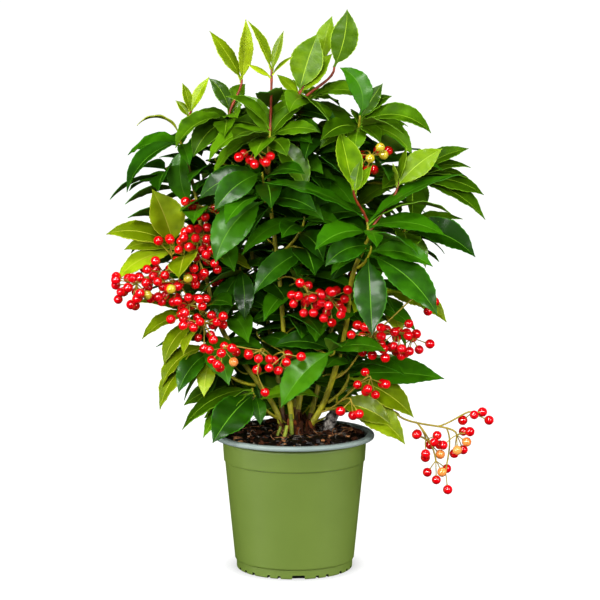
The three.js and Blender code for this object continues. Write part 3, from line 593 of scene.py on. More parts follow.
def branch_point(leader, target):
    """Where a side twig leaves its leader: the place from which it runs on most straight."""
    best = None
    for share in BRANCH_SHARES:
        point, heading = on_axis(leader, TWIG["steps"], share)
        way = target - point
        reach = way.length
        way.normalize()
        cost = reach * (TURN_COST - way.dot(heading))
        if best is None or cost < best[0]:
            best = (cost, point, (heading + way).normalized())
    return best[1:]


def grow_twigs(mass, cad):
    """The lines of all twigs of a mass. The one that the source found room for is told by
    the corners of its middle rings."""
    leader = None
    twigs = []
    rosettes = mass["rosettes"]
    for k, end in enumerate([*rosettes, *mass["umbels"]]):
        random = random_from(mass["number"] * SEEDS["each_mass"] + k)
        target = Vector(end["at"])
        is_umbel = k >= len(rosettes)
        thin = SIDE_TWIG["thinner"] if leader else 1
        root = (TWIG["stalk_radius"] if is_umbel else TWIG["root_radius"]) * thin
        tip = SIDE_TWIG["umbel_tip"] if is_umbel else TWIG["tip_radius"]
        lift = SIDE_TWIG["umbel_lift"] if is_umbel else SIDE_TWIG["lift"]
        best = None
        for tries in range(TWIG_TRIES):
            size = SWING_STEP * tries
            step_aside = SHARE_STEPS[tries % len(SHARE_STEPS)]
            share = 1 if mass["share"] == 1 else mass["share"] + step_aside
            start = (
                branch_point(leader, target)
                if leader
                else root_on(limbs[mass["on"]], share, target, root)
            )
            swing = [(random() - 0.5) * 2 * size for _ in range(3)]
            line = sprig_line(start, target, lift, swing)
            found = 0
            for step, (point, across, ahead) in enumerate(ring_frames(line, TWIG["steps"])):
                radius = mix(root, tip, step / TWIG["steps"])
                for side in range(3):
                    turn = math.radians(120 * side)
                    corner = point + (across * math.sin(turn) + ahead * math.cos(turn)) * radius
                    found += cad.has(corner)
            if best is None or found > best[0]:
                best = (found, line)
        leader = leader or best[1]
        twigs.append({"line": best[1], "root": root, "tip": tip, "is_umbel": is_umbel})
    return twigs


def leaf_frame(leaf, along):
    """The middle line and frame of a leaf, which bends down evenly from root to tip. along
    may be an array, and then so are the answers."""
    rise = math.radians(leaf["rise"])
    droop = math.radians(max(leaf["droop"], 0.5))
    heading = math.radians(leaf["heading"])
    roll = math.radians(leaf["roll"])
    along = np.asarray(along, float)[..., None]
    angle = rise - droop * along
    out = leaf["length"] * (math.sin(rise) - np.sin(angle)) / droop
    up = leaf["length"] * (np.cos(angle) - math.cos(rise)) / droop
    flat = np.array((math.cos(heading), math.sin(heading), 0))
    high = np.array((0, 0, 1))
    point = np.array(leaf["root"]) + flat * out + high * up
    ahead = flat * np.cos(angle) + high * np.sin(angle)
    side = np.array((-math.sin(heading), math.cos(heading), 0))
    face = np.cross(ahead, side)
    return (
        point,
        side * math.cos(roll) - face * math.sin(roll),
        face * math.cos(roll) + side * math.sin(roll),
    )


TURNS = [(turn, tilt) for turn in (0, 9, -9, 18, -18, 28, -28) for tilt in (0, 10, -10, 20)]


def next_heading(headings, random):
    """The heading for a leaf that follows the named ones: it takes the widest gap left."""
    if not headings:
        return random() * 360
    ordered = sorted(headings)
    best = None
    for i, heading in enumerate(ordered):
        after = ordered[i + 1] if i + 1 < len(ordered) else ordered[0] + 360
        if best is None or after - heading > best[0]:
            best = (after - heading, heading)
    return (best[1] + best[0] * (0.38 + 0.24 * random())) % 360


def spread(measure, draw):
    """The share of a measure that a draw from 0 to 1 gives."""
    least, added = SPREAD[measure]
    return least + added * draw


def rosette_leaves(rosette, line, random, extra=0):
    """The leaves of one rosette, before they are tried for room. The extra ones come after
    those of the source."""
    shown = rosette["leaves"]
    headings = []
    leaves = []
    reach = (line(0) - line(1)).length
    for i in range(len(shown) + rosette["more"] + extra):
        draws = [random() for _ in range(4)]
        named = shown[i] if i < len(shown) else None
        if named:
            defaults = (0, 0, 0, rosette["facing"], rosette["droop"], 1)
            heading, rise, length, facing, droop, wider = named + defaults[len(named) :]
        else:
            heading = next_heading(headings, random)
            step_down = LEAF["rise_step"] * (i - len(shown))
            rise = rosette["rise"] + SPREAD["rise"] * (draws[0] - 0.5) - step_down
            length = rosette["size"] * spread("length", draws[1])
            facing, droop, wider = rosette["facing"], rosette["droop"], 1
        face = FRONT if named else rosette["outward"]
        headings.append(heading)
        down = min(LEAF["most_down"], LEAF["step_down"] * (i + 0.4) / reach)
        turned = facing * math.sin(math.radians(face - heading))
        leaves.append(
            {
                "root": on_axis(line, TWIG["steps"], 1 - down)[0],
                "heading": heading,
                "rise": rise,
                "length": length,
                "droop": droop * spread("droop", draws[2]),
                "roll": turned + SPREAD["roll"] * (draws[3] - 0.5),
                "breadth": wider * spread("breadth", draws[1]),
            }
        )
    return leaves


def grow_umbel(umbel, line, random, has_room, most):
    """Berries on stalks from a knot at the twig's end, each where there is room."""
    root, heading = on_axis(line, TWIG["steps"], KNOT_SHARE)
    ways = [-heading]
    berries = []
    tries = 0
    while len(berries) < most and tries < BERRY["tries"] * most:
        tries += 1
        around = math.radians(GOLDEN * len(berries) + 60 * (random() - 0.5))
        fall = math.radians(umbel["fall"] + 120 * (random() - 0.5))
        stalk = BERRY["stalk"] + BERRY["stalk_spread"] * (2 * random() - 1)
        reach = stalk + umbel["berries"] * BERRY["stalk_each"]
        away = Vector((math.cos(around), math.sin(around), 0)) * math.cos(fall)
        away.z = math.sin(fall)
        at = root + away * reach
        spread = all(way.angle(away) > math.radians(BERRY["turn"]) for way in ways)
        if spread and has_room(at, away):
            ways.append(away)
            berries.append({"at": at, "root": root})
    return berries


def grow_mass(mass, cad):
    """The leaves and berries that the source found room for, told by their end corners."""
    rosettes = mass["rosettes"]
    leaves = []
    berries = []
    pole = BERRY["radius"] * BERRY["pole"]
    for k, umbel in enumerate(mass["umbels"]):
        random = random_from(mass["number"] * SEEDS["each_mass"] + SEEDS["umbel"] + k)
        line = mass["twigs"][len(rosettes) + k]["line"]
        grown = grow_umbel(
            umbel, line, random, lambda at, away: cad.has(at + away * pole), umbel["berries"]
        )
        berries += [{**berry, "spray": mass["name"]} for berry in grown]
    for k, rosette in enumerate(rosettes):
        random = random_from(mass["number"] * SEEDS["each_mass"] + SEEDS["rosette"] + k)
        for i, leaf in enumerate(rosette_leaves(rosette, mass["twigs"][k]["line"], random)):
            for turn, tilt in TURNS:
                tried = {**leaf, "heading": leaf["heading"] + turn, "rise": leaf["rise"] + tilt}
                if cad.has(Vector(leaf_frame(tried, 1)[0])):
                    leaves.append({**tried, "mass": mass["name"], "rosette": k, "rank": i})
                    break
    return leaves, berries


def grow_limbs():
    for name, (radii, through) in STEMS.items():
        points = [Vector(point) for point in through]
        points[0].z = SOIL["top_height"] + CLEAR
        add_limb(name, spline(points), radii, STEM_STEPS, STEM_FLARE)
    for name, (on, share, to, lift, radii) in BOUGHS.items():
        target = Vector(to)
        root = root_on(limbs[on], share, target, radii[0])
        add_limb(name, sprig_line(root, target, lift), radii, BOUGH_STEPS, 0)


def grow_plant():
    """Everything that grows on the limbs: twigs, leaves and berries."""
    grow_limbs()
    masses = [*FRUIT_SPRAYS, *FOLIAGE]
    numbers = [FIRST_SPRAY + i for i in range(len(FRUIT_SPRAYS))]
    numbers += [FIRST_FOLIAGE + i for i in range(len(FOLIAGE))]
    leaves = []
    berries = []
    for mass, number in zip(masses, numbers):
        mass["number"] = number
        cad = CadPoints(mass["name"])
        mass["twigs"] = grow_twigs(mass, cad)
        more_leaves, more_berries = grow_mass(mass, cad)
        leaves += more_leaves
        berries += more_berries
    return masses, leaves, berries


# Finer growth: more leaves and berries by the same rule, only where there is room
LEAF_CLEAR_OF_BERRY = 4.6
LEAF_CLEAR_OF_LIMB = 2.6
LEAF_ABOVE_POT = 4
BERRY_CLEAR_OF_LEAF = 4.2
EXTRA_ROSETTE_LEAVES = 3
FINER_RANK = 9
BARE_TIP = {"bough_fruiting": 0.4}

# The stems' feet show from the front, so no finer leaf stands before them
OPEN_FOOT = {"height": 168, "half_width": 46, "front": 6}

# Finer side twigs along the limbs, each with a small whorl, inside and behind the crown
SPRIG = {
    "step": 15,
    "reach": 20,
    "foremost": -10,
    "leaves": 5,
    "size": 56,
    "tries": 3,
    "clear": 0.7,
    "radii": {"root": 0.75, "tip": 0.55},
}

# A leaf's length at a limb's foot, as a share of its length higher up
FOOT_LEAF = 0.6

# Low whorls behind the stems: first their leaves, which spread sideways and turn to the front,
# then the stem that bears each, where on it, and the whorl's place
FOOT_WHORL = (
    (15, 34, 50, 64, 40),
    (165, 34, 50, 64, 40),
    (-14, 8, 48, 60, 36),
    (194, 8, 48, 60, 36),
    (60, 56, 46, 40, 30),
    (120, 56, 46, 40, 30),
)
FOOT_SPRIGS = (
    ("stem_back_left", 0.03, (-34, 24, 137)),
    ("stem_back_left", 0.1, (-52, 26, 150)),
    ("stem_back", 0.04, (-14, 38, 134)),
    ("stem_back", 0.1, (10, 46, 150)),
    ("stem_back_right", 0.03, (36, 26, 134)),
    ("stem_back_right", 0.1, (50, 28, 150)),
    ("stem_middle", 0.04, (14, 26, 136)),
    ("stem_middle", 0.1, (-8, 28, 152)),
)

# The single leaves along the limbs, and how each is turned and tilted to find room
LIMB_LEAF = {
    "step": 15,
    "turn": 40,
    "rise": 22,
    "rise_spread": 20,
    "droop": (45, 80),
    "length": (46, 72),
    "roll": (-20, 20),
    "breadth": (0.9, 1.15),
}
LIMB_LEAF_TRIES = ((0, 0), (25, 6), (-25, -6), (50, 12), (-50, -10), (80, 0), (-80, 10))

# How many more berries a spray gets, as a share of the source's. The back's sprays get half
BACK_DENSER = 0.5
DENSER = {
    "fruit_left": 0.8,
    "fruit_upper_left": 0.7,
    "fruit_left_lower": 0.6,
    "fruit_low_left": 0,
    "fruit_centre": 0.6,
    "fruit_right": 0.5,
    "fruit_low_right": 0,
    "fruit_far_right": 0.1,
    "fruit_top_centre": 0.2,
    "fruit_top_right": 0.2,
}

# The second shell of berries: tries for each, how they turn and fall, and their reach
SHELL = {"tries": 14, "turn": 50, "fall": 130, "reach": (11, 21)}

# Umbels that only the finer growth has: place, berries and fall
FINER_UMBELS = {
    "fruit_left": ((-76, -20, 256, 9, -30), (-98, -24, 258, 5, 0)),
    "fruit_right": ((104, -22, 226, 3, -25),),
    "fruit_low_left": ((-29, -50, 167, 1, -85),),
    "fruit_far_right": ((122, -22, 82, 1, -60),),
}
SHEET_ALONG = (0.14, 0.28, 0.42, 0.56, 0.7, 0.85, 1)
SHEET_WIDTHS = (0.5, 0.9, 1, 0.95, 0.75, 0.45, 0.02)


def leaf_sheet(leaf):
    """The corners of a coarse flat copy of a leaf, three for each place along it."""
    point, side, _ = leaf_frame(leaf, SHEET_ALONG)
    half = leaf["length"] * LEAF["width_share"] / 2 * leaf["breadth"]
    reach = side * np.array(SHEET_WIDTHS)[:, None] * half
    return np.concatenate((point - reach, point, point + reach))


def sheet_tree(corners):
    rows = len(SHEET_ALONG)
    strips = [
        (line * rows + i, line * rows + i + 1, (line + 1) * rows + i + 1, (line + 1) * rows + i)
        for line in range(2)
        for i in range(rows - 1)
    ]
    return BVHTree.FromPolygons([Vector(corner) for corner in corners], strips)


def point_tree(points):
    tree = KDTree(len(points))
    for i, point in enumerate(points):
        tree.insert(point, i)
    tree.balance()
    return tree


class Room:
    """What is taken: the sheets of leaves, the berries, and the lines of limbs and twigs."""

    def __init__(self, masses, leaves, berries):
        self.sheets = []
        for leaf in leaves:
            self.take(leaf)
        self.berries = [berry["at"] for berry in berries]
        lines = [limb["curve"] for limb in limbs.values()]
        lines += [twig["line"] for mass in masses for twig in mass["twigs"]]
        self.limb_tree = point_tree([line(i / 60) for line in lines for i in range(61)])
        self.berry_tree = point_tree(self.berries)

    def take(self, leaf):
        corners = leaf_sheet(leaf)
        centre = corners.mean(axis=0)
        radius = np.linalg.norm(corners - centre, axis=1).max()
        self.sheets.append((centre, radius, sheet_tree(corners)))

    def holds_leaf(self, leaf):
        corners = leaf_sheet(leaf)
        low, high = cad_box[0], cad_box[1]
        for x, y, z in corners * METRE:
            if not (low[0] < x < high[0] and low[1] < y < high[1] and z < high[2]):
                return False
        for i, corner in enumerate(corners):
            if self.berry_tree.find(corner)[2] < LEAF_CLEAR_OF_BERRY:
                return False
            is_far = SHEET_ALONG[i % len(SHEET_ALONG)] > 0.3
            if is_far and self.limb_tree.find(corner)[2] < LEAF_CLEAR_OF_LIMB:
                return False
            if corner[2] < POT["height"] + LEAF_ABOVE_POT:
                return False
            x, y, z = corner
            before_stems = abs(x) < OPEN_FOOT["half_width"] and y < OPEN_FOOT["front"]
            if before_stems and z < OPEN_FOOT["height"]:
                return False
        tree = sheet_tree(corners)
        centre = corners.mean(axis=0)
        radius = np.linalg.norm(corners - centre, axis=1).max()
        near = (
            other
            for middle, size, other in self.sheets
            if np.linalg.norm(middle - centre) < radius + size
        )
        return not any(tree.overlap(other) for other in near)

    def holds_berry(self, at):
        if any((at - berry).length < BERRY["apart"] - 0.2 for berry in self.berries):
            return False
        for centre, radius, tree in self.sheets:
            if np.linalg.norm(centre - np.array(at)) < radius + BERRY_CLEAR_OF_LEAF:
                if tree.find_nearest(at, BERRY_CLEAR_OF_LEAF)[0] is not None:
                    return False
        return True


def knots(mass):
    """Every umbel's knot, how many more berries it is to get, and how far they hang. The
    finer umbels branch off the spray's leading twig."""
    rosettes = len(mass["rosettes"])
    denser = DENSER.get(mass["name"], BACK_DENSER)
    found = []
    for k, umbel in enumerate(mass["umbels"]):
        line = mass["twigs"][rosettes + k]["line"]
        wanted = round(umbel["berries"] * denser)
        found.append((on_axis(line, TWIG["steps"], KNOT_SHARE)[0], wanted, umbel["fall"]))
    for x, y, z, wanted, fall in FINER_UMBELS.get(mass["name"], ()):
        target = Vector((x, y, z))
        line = sprig_line(branch_point(mass["twigs"][rosettes]["line"], target), target, -0.2)
        mass["twigs"].append({"line": line, "root": 0.64, "tip": 0.6, "is_umbel": True})
        found.append((target, wanted, fall))
    return found


def more_berries(masses, room):
    """A second shell of berries round every umbel's knot."""
    berries = []
    for mass in masses:
        random = random_from(SEEDS["more_berries"] + mass["number"])
        for root, wanted, fall_at in knots(mass):
            for i in range(SHELL["tries"] * wanted):
                around = math.radians(GOLDEN * i + SHELL["turn"] * random())
                fall = math.radians(fall_at + SHELL["fall"] * (random() - 0.5))
                away = Vector((math.cos(around), math.sin(around), 0)) * math.cos(fall)
                away.z = math.sin(fall)
                at = root + away * mix(*SHELL["reach"], random())
                if wanted > 0 and room.holds_berry(at):
                    wanted -= 1
                    room.berries.append(at)
                    berries.append({"at": at, "root": root, "spray": mass["name"]})
    return berries


def fitting(leaves, room, place):
    """The leaves that there is room for, each turned a little where that helps."""
    grown = []
    for leaf in leaves:
        for turn, tilt in TURNS:
            tried = {**leaf, "heading": leaf["heading"] + turn, "rise": leaf["rise"] + tilt}
            if room.holds_leaf(tried):
                room.take(tried)
                grown.append({**tried, **place})
                break
    return grown


def more_rosette_leaves(masses, room):
    """Leaves that go on round each rosette into its widest gaps."""
    grown = []
    for mass in masses:
        for k, rosette in enumerate(mass["rosettes"]):
            random = random_from(mass["number"] * SEEDS["each_mass"] + SEEDS["rosette"] + k)
            line = mass["twigs"][k]["line"]
            is_young = (mass["name"], k) in YOUNG_SHOOTS
            extra = 0 if is_young else EXTRA_ROSETTE_LEAVES
            leaves = rosette_leaves(rosette, line, random, extra)
            place = {"mass": mass["name"], "rosette": k, "rank": FINER_RANK}
            grown += fitting(leaves[len(leaves) - extra :], room, place)
    return grown


def limb_leaves(room):
    """Older leaves that sit singly along the limbs, each a golden angle on."""
    grown = []
    random = random_from(77)
    for name, limb in limbs.items():
        span = (limb["curve"](1) - limb["curve"](0)).length
        count = int(span / LIMB_LEAF["step"])
        for i in range(count):
            share = mix(0.08, BARE_TIP.get(name, 0.97), i / max(count - 1, 1))
            for turn, tilt in LIMB_LEAF_TRIES:
                leaf = {
                    "root": on_axis(limb["curve"], limb["steps"], share)[0],
                    "heading": GOLDEN * i + turn + LIMB_LEAF["turn"] * random(),
                    "rise": LIMB_LEAF["rise"] + tilt + LIMB_LEAF["rise_spread"] * random(),
                    "droop": mix(*LIMB_LEAF["droop"], random()),
                    "length": mix(*LIMB_LEAF["length"], random()) * min(1, FOOT_LEAF + share),
                    "roll": mix(*LIMB_LEAF["roll"], random()),
                    "breadth": mix(*LIMB_LEAF["breadth"], random()),
                }
                if room.holds_leaf(leaf):
                    room.take(leaf)
                    grown.append({**leaf, "mass": name, "rosette": 0, "rank": FINER_RANK})
                    break
    return grown


def sprig(limb, share, target, random, room, place, shown=()):
    """A side twig with a small whorl of leaves, those that there is room for."""
    line = sprig_line(root_on(limb, share, target, SPRIG["clear"]), target, SIDE_TWIG["lift"])
    size = SPRIG["size"] * min(1, FOOT_LEAF + share)
    rosette = whorl(target, *shown, more=SPRIG["leaves"] - len(shown), size=size)
    leaves = fitting(rosette_leaves(rosette, line, random), room, place)
    return {"line": line, **SPRIG["radii"], "is_umbel": False}, leaves


def foot_sprigs(room):
    random = random_from(91)
    place = {"mass": "foot_sprigs", "rosette": 0, "rank": FINER_RANK}
    grown = [
        sprig(limbs[name], share, Vector(at), random, room, place, FOOT_WHORL)
        for name, share, at in FOOT_SPRIGS
    ]
    return [twig for twig, leaves in grown], [leaf for twig, leaves in grown for leaf in leaves]


def limb_sprigs(room):
    """The side twigs along the limbs and their leaves."""
    random = random_from(55)
    twigs, grown = [], []
    for name, limb in limbs.items():
        if name in BARE_TIP:
            continue
        count = int((limb["curve"](1) - limb["curve"](0)).length / SPRIG["step"])
        for i in range(1, count * SPRIG["tries"]):
            share = i / count / SPRIG["tries"]
            around = math.radians(GOLDEN * i + 60 * random())
            reach = SPRIG["reach"] * mix(0.7, 1.3, random())
            away = Vector((math.cos(around), math.sin(around), mix(0.2, 0.7, random())))
            target = on_axis(limb["curve"], limb["steps"], share)[0] + away * reach
            if target.y < SPRIG["foremost"] or not room.holds_berry(target):
                continue
            place = {"mass": name if i % 2 else "limb_sprigs", "rosette": 0, "rank": FINER_RANK}
            twig, leaves = sprig(limb, share, target, random, room, place)
            if leaves:
                twigs.append(twig)
                grown += leaves
    return twigs, grown


def grow_finer(masses, leaves, berries):
    room = Room(masses, leaves, berries)
    berries += more_berries(masses, room)
    room.berry_tree = point_tree(room.berries)
    leaves += more_rosette_leaves(masses, room)
    for grow in (foot_sprigs, limb_sprigs):
        twigs, sprig_leaves = grow(room)
        masses[-1]["twigs"] += twigs
        leaves += sprig_leaves
    leaves += limb_leaves(room)


# Making pieces: a shape is modelled once, and its copies are bent into place and joined
class Pattern:
    """A shape made with bmesh operators, to be copied many times into one joined mesh. Its
    parts are numbered, so that each copy can give every part its own material."""

    def __init__(self, bm, part_of=lambda face: 0):
        bm.verts.index_update()
        self.corners = np.array([vert.co for vert in bm.verts])
        self.sizes = np.array([len(face.verts) for face in bm.faces])
        self.loops = np.array([vert.index for face in bm.faces for vert in face.verts])
        self.parts = np.array([int(part_of(face)) for face in bm.faces])
        bm.free()


def joined(name, copies, materials, sharp_over=50):
    """One smooth mesh of many copies, each given as its pattern, its corners in millimetres
    and the material number of each of its parts."""
    corners = np.concatenate([placed for _, placed, _ in copies]) * METRE
    starts = np.cumsum([0] + [len(placed) for _, placed, _ in copies])
    loops = np.concatenate([copy[0].loops + start for copy, start in zip(copies, starts)])
    sizes = np.concatenate([pattern.sizes for pattern, _, _ in copies])
    slots = np.concatenate([np.array(paint)[pattern.parts] for pattern, _, paint in copies])
    mesh = bpy.data.meshes.new(name)
    mesh.vertices.add(len(corners))
    mesh.vertices.foreach_set("co", corners.astype(np.float32).ravel())
    mesh.loops.add(len(loops))
    mesh.loops.foreach_set("vertex_index", loops.astype(np.int32))
    mesh.polygons.add(len(sizes))
    mesh.polygons.foreach_set("loop_start", (np.cumsum(sizes) - sizes).astype(np.int32))
    mesh.polygons.foreach_set("material_index", slots.astype(np.int32))
    for material in materials:
        mesh.materials.append(material)
    mesh.update(calc_edges=True)
    mesh.validate()
    mesh.shade_smooth()
    mesh.set_sharp_from_angle(angle=math.radians(sharp_over))
    return link(name, mesh)


def link(name, mesh):
    piece = bpy.data.objects.new(name, mesh)
    bpy.context.scene.collection.objects.link(piece)
    return piece


def mesh_of(name, bm, materials, sharp_over=40):
    """A piece from a bmesh in millimetres."""
    bmesh.ops.scale(bm, vec=(METRE, METRE, METRE), verts=bm.verts[:])
    mesh = bpy.data.meshes.new(name)
    bm.to_mesh(mesh)
    bm.free()
    for material in materials:
        mesh.materials.append(material)
    mesh.shade_smooth()
    mesh.set_sharp_from_angle(angle=math.radians(sharp_over))
    return link(name, mesh)


def dress(piece, nodes):
    """The piece rides on the part and stands for these nodes."""
    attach(piece, "root")
    if nodes:
        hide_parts(*nodes)


def tube_pattern(sides, rings, part_of=lambda face: 0):
    """A closed tube of unit length and radius, cut into rings."""
    bm = bmesh.new()
    bmesh.ops.create_cone(bm, cap_ends=True, segments=sides, radius1=1, radius2=1, depth=1)
    upright = [edge for edge in bm.edges if abs(edge.verts[0].co.z - edge.verts[1].co.z) > 0.5]
    bmesh.ops.subdivide_edges(bm, edges=upright, cuts=rings - 1, use_grid_fill=True)
    bmesh.ops.translate(bm, verts=bm.verts[:], vec=(0, 0, 0.5))
    bmesh.ops.recalc_face_normals(bm, faces=bm.faces[:])
    return Pattern(bm, part_of)


def bent_tube(pattern, rings, curve, radius_at, relief=None):
    """A tube's corners along a curve. relief gives how far a corner stands out, by its
    share of the run and its angle."""
    frames = ring_frames(curve, rings)
    corners = np.empty_like(pattern.corners)
    for i, (x, y, z) in enumerate(pattern.corners):
        point, across, ahead = frames[round(z * rings)]
        radius = radius_at(z)
        if relief:
            radius += relief(z, math.atan2(y, x))
        corners[i] = point - (across * x - ahead * y) * radius
    return corners


def ball_pattern(around, rings, part_of):
    """A ball with a small disc of faces round its upper pole."""
    bm = bmesh.new()
    bmesh.ops.create_uvsphere(bm, u_segments=around, v_segments=rings, radius=1)
    pole = max(vert.co.z for vert in bm.verts)
    highest = max(vert.co.z for vert in bm.verts if vert.co.z < pole - 0.001)
    for vert in bm.verts:
        if abs(vert.co.z - highest) < 0.001:
            vert.co.xy *= 0.13 / vert.co.xy.length
            vert.co.z = math.sqrt(1 - 0.13**2)
    bmesh.ops.recalc_face_normals(bm, faces=bm.faces[:])
    return Pattern(bm, part_of)


def frame_along(away):
    """Columns of a frame whose third axis points away."""
    third = np.array(away)
    guide = np.array((0, 0, 1) if abs(third[2]) < 0.9 else (1, 0, 0))
    first = np.cross(guide, third)
    first /= np.linalg.norm(first)
    return np.column_stack((first, np.cross(third, first), third))


# Leaves: a blade with its midrib, its toothed margin and a paler underside. Those of the
# source are cut finer than the ones that fill the crown, which have no teeth
SHOWN_CUT = {"rows": 26, "lines": (-1, -0.94, -0.5, -0.03, 0.03, 0.5, 0.94, 1), "veins": 1}
FILLING_CUT = {"rows": 10, "lines": (-1, -0.04, 0.04, 1), "veins": 0}
BLADE, RIB, MARGIN, UNDERSIDE, UNDER_RIB = range(5)
BLADE_THICKNESS = 0.45
PETIOLE = {"share": 0.1, "half_width": 0.85, "thickness": 1.3}
TOOTH_DEPTH = 0.34
VEIN_PAIRS = 7
VEIN_RELIEF = 0.4
VEIN_SLANT = 1.1
RIB_GROOVE = 0.25
WAVES = 8.5

# The blade is a little fuller than the source's, and its relief fades where it is narrow
FULLER = 1.04
NARROW_HALF = 6

# The length from which a leaf has its full teeth, waves and relief
GROWN_LENGTH = 70


def leaf_part(face):
    across = abs(face.calc_center_median().x)
    if abs(face.normal.z) < 0.5:
        return MARGIN
    if face.normal.z < 0:
        return UNDER_RIB if across < 0.02 else UNDERSIDE
    if across < 0.02:
        return RIB
    return MARGIN if across > 0.95 else BLADE


def leaf_pattern(cut):
    """A flat grid with a line of corners at each change of colour, given its thickness."""
    bm = bmesh.new()
    columns = len(cut["lines"]) - 1
    bmesh.ops.create_grid(bm, x_segments=columns, y_segments=cut["rows"], size=1)
    for vert in bm.verts:
        vert.co.x = cut["lines"][round((vert.co.x + 1) / 2 * columns)]
        vert.co.y = (vert.co.y + 1) / 2
    bmesh.ops.solidify(bm, geom=bm.faces[:], thickness=1)
    bmesh.ops.recalc_face_normals(bm, faces=bm.faces[:])
    bm.normal_update()
    top = max(vert.co.z for vert in bm.verts)
    bmesh.ops.translate(bm, verts=bm.verts[:], vec=(0, 0, -top))
    return Pattern(bm, leaf_part)


def leaf_outline(along):
    """Half the blade's width, as a share of its widest, from the petiole to the tip."""
    run = np.clip((along - PETIOLE["share"]) / (1 - PETIOLE["share"]), 0, 1)
    return np.sin(math.pi * run**0.88) ** (0.82 + 0.4 * run**2)


def leaf_corners(pattern, cut, leaf):
    """The corners of one leaf: the pattern bent along the source's arc, folded up from its
    midrib, waved at its margin and quilted between its side veins."""
    across = -pattern.corners[:, 0]
    along = pattern.corners[:, 1]
    depth = -pattern.corners[:, 2]
    point, side, face = leaf_frame(leaf, along)
    widest = leaf["length"] * LEAF["width_share"] / 2 * leaf["breadth"] * FULLER
    blend = np.clip((along - PETIOLE["share"] * 0.6) / (PETIOLE["share"] * 0.9), 0, 1)
    slim = PETIOLE["half_width"] * (1 - along) * np.where(along < 0.99, 1, 0.2)
    half = np.maximum(widest * leaf_outline(along), slim + 0.05)
    row = np.rint(along * cut["rows"])
    room = np.clip(half / NARROW_HALF, 0, 1) * blend * min(1, leaf["length"] / GROWN_LENGTH)
    width = np.abs(across)
    edge = width**4
    tooth = TOOTH_DEPTH * room * np.where(row % 2 == 0, 1, -1)
    reach = across * half + np.sign(across) * edge * tooth
    fold = math.tan(math.radians(leaf["fold"])) * width * half
    wave = leaf["wave"] * room * np.sin(along * WAVES * math.pi + leaf["phase"]) * width**3
    curl = leaf["curl"] * width**2 * half
    vein = np.cos(2 * math.pi * (VEIN_PAIRS * along - VEIN_SLANT * width))
    quilt = cut["veins"] * VEIN_RELIEF * room * vein * np.clip(width * 3, 0, 1) * (1 - edge)
    groove = np.where(width < 0.1, RIB_GROOVE * room, 0)
    thickness = mix(PETIOLE["thickness"], BLADE_THICKNESS, blend)
    height = fold + wave - curl + quilt - groove - depth * thickness
    swerve = leaf["swerve"] * leaf["length"] * along**2
    twist = np.radians(leaf["twist"]) * along
    turned_side = side * np.cos(twist)[:, None] + face * np.sin(twist)[:, None]
    turned_face = face * np.cos(twist)[:, None] - side * np.sin(twist)[:, None]
    moved = point + side * swerve[:, None]
    return moved + turned_side * reach[:, None] + turned_face * height[:, None]


# From the least to the most by which leaves differ from each other
DIFFERENCES = {
    "fold": (6, 24),
    "wave": (0.2, 0.9),
    "phase": (0, 6.28),
    "curl": (0.02, 0.2),
    "swerve": (-0.07, 0.07),
    "twist": (-16, 16),
}


def shaped(leaf, random):
    """The leaf with the small differences that make each one its own."""
    return {**leaf, **{name: mix(*ends, random()) for name, ends in DIFFERENCES.items()}}


# Materials: plain base colours dealt out by part and by spray, with the relief and the gloss
# of the real surfaces
def linear(code):
    """A colour from its sRGB code, as Blender counts it."""
    shares = [int(code[i : i + 2], 16) / 255 for i in (1, 3, 5)]
    bent = [c / 12.92 if c <= 0.04045 else ((c + 0.055) / 1.055) ** 2.4 for c in shares]
    return (*bent, 1)


def new_material(name, **sockets):
    """A material with its shader's sockets set, its nodes and links, and its shader."""
    material = bpy.data.materials.new(name)
    material.use_nodes = True
    tree = material.node_tree
    shader = tree.nodes["Principled BSDF"]
    for socket, value in sockets.items():
        shader.inputs[socket.replace("_", " ")].default_value = value
    return material, tree, shader


def add_node(tree, kind, settings, inputs):
    """A node with its settings, and its inputs given as values or as sockets to link."""
    node = tree.nodes.new(kind)
    for name, value in settings.items():
        setattr(node, name, value)
    for name, value in inputs.items():
        if isinstance(value, bpy.types.NodeSocket):
            tree.links.new(value, node.inputs[name])
        else:
            node.inputs[name].default_value = value
    return node


def object_noise(tree, size_mm, **inputs):
    """A noise whose blotches are about this size, on the piece's own coordinates."""
    place = add_node(tree, "ShaderNodeTexCoord", {}, {}).outputs["Object"]
    inputs = {"Vector": place, "Scale": 1 / (size_mm * METRE), **inputs}
    return add_node(tree, "ShaderNodeTexNoise", {}, inputs)


def ramp(tree, share, stops):
    """A colour ramp, its stops given as places and colour codes."""
    node = add_node(tree, "ShaderNodeValToRGB", {}, {"Fac": share})
    elements = node.color_ramp.elements
    while len(elements) < len(stops):
        elements.new(0.5)
    for element, (place, code) in zip(elements, stops):
        element.position = place
        element.color = linear(code)
    return node.outputs["Color"]


def add_bump(tree, shader, height, size_mm, strength=1):
    bump = add_node(
        tree,
        "ShaderNodeBump",
        {},
        {"Height": height, "Distance": size_mm * METRE, "Strength": strength},
    )
    tree.links.new(bump.outputs["Normal"], shader.inputs["Normal"])


def leaf_material(name, dark, base, light, roughness, coat, wrinkled=0):
    """Leathery blade: blotches of darker and lighter green at the size of the fields
    between the veins, a fine wrinkle, and a waxy coat that mirrors the room softly."""
    material, tree, shader = new_material(
        name,
        Roughness=roughness,
        Specular_IOR_Level=0.2,
        Coat_Weight=coat,
        Coat_Roughness=0.24,
        Coat_IOR=1.4,
    )
    blotch = object_noise(tree, 14, Detail=3).outputs["Fac"]
    colour = ramp(tree, blotch, ((0.3, dark), (0.5, base), (0.72, light)))
    tree.links.new(colour, shader.inputs["Base Color"])
    wrinkle = object_noise(tree, 2.2, Detail=2).outputs["Fac"]
    add_bump(tree, shader, wrinkle, 0.25, wrinkled)
    return material


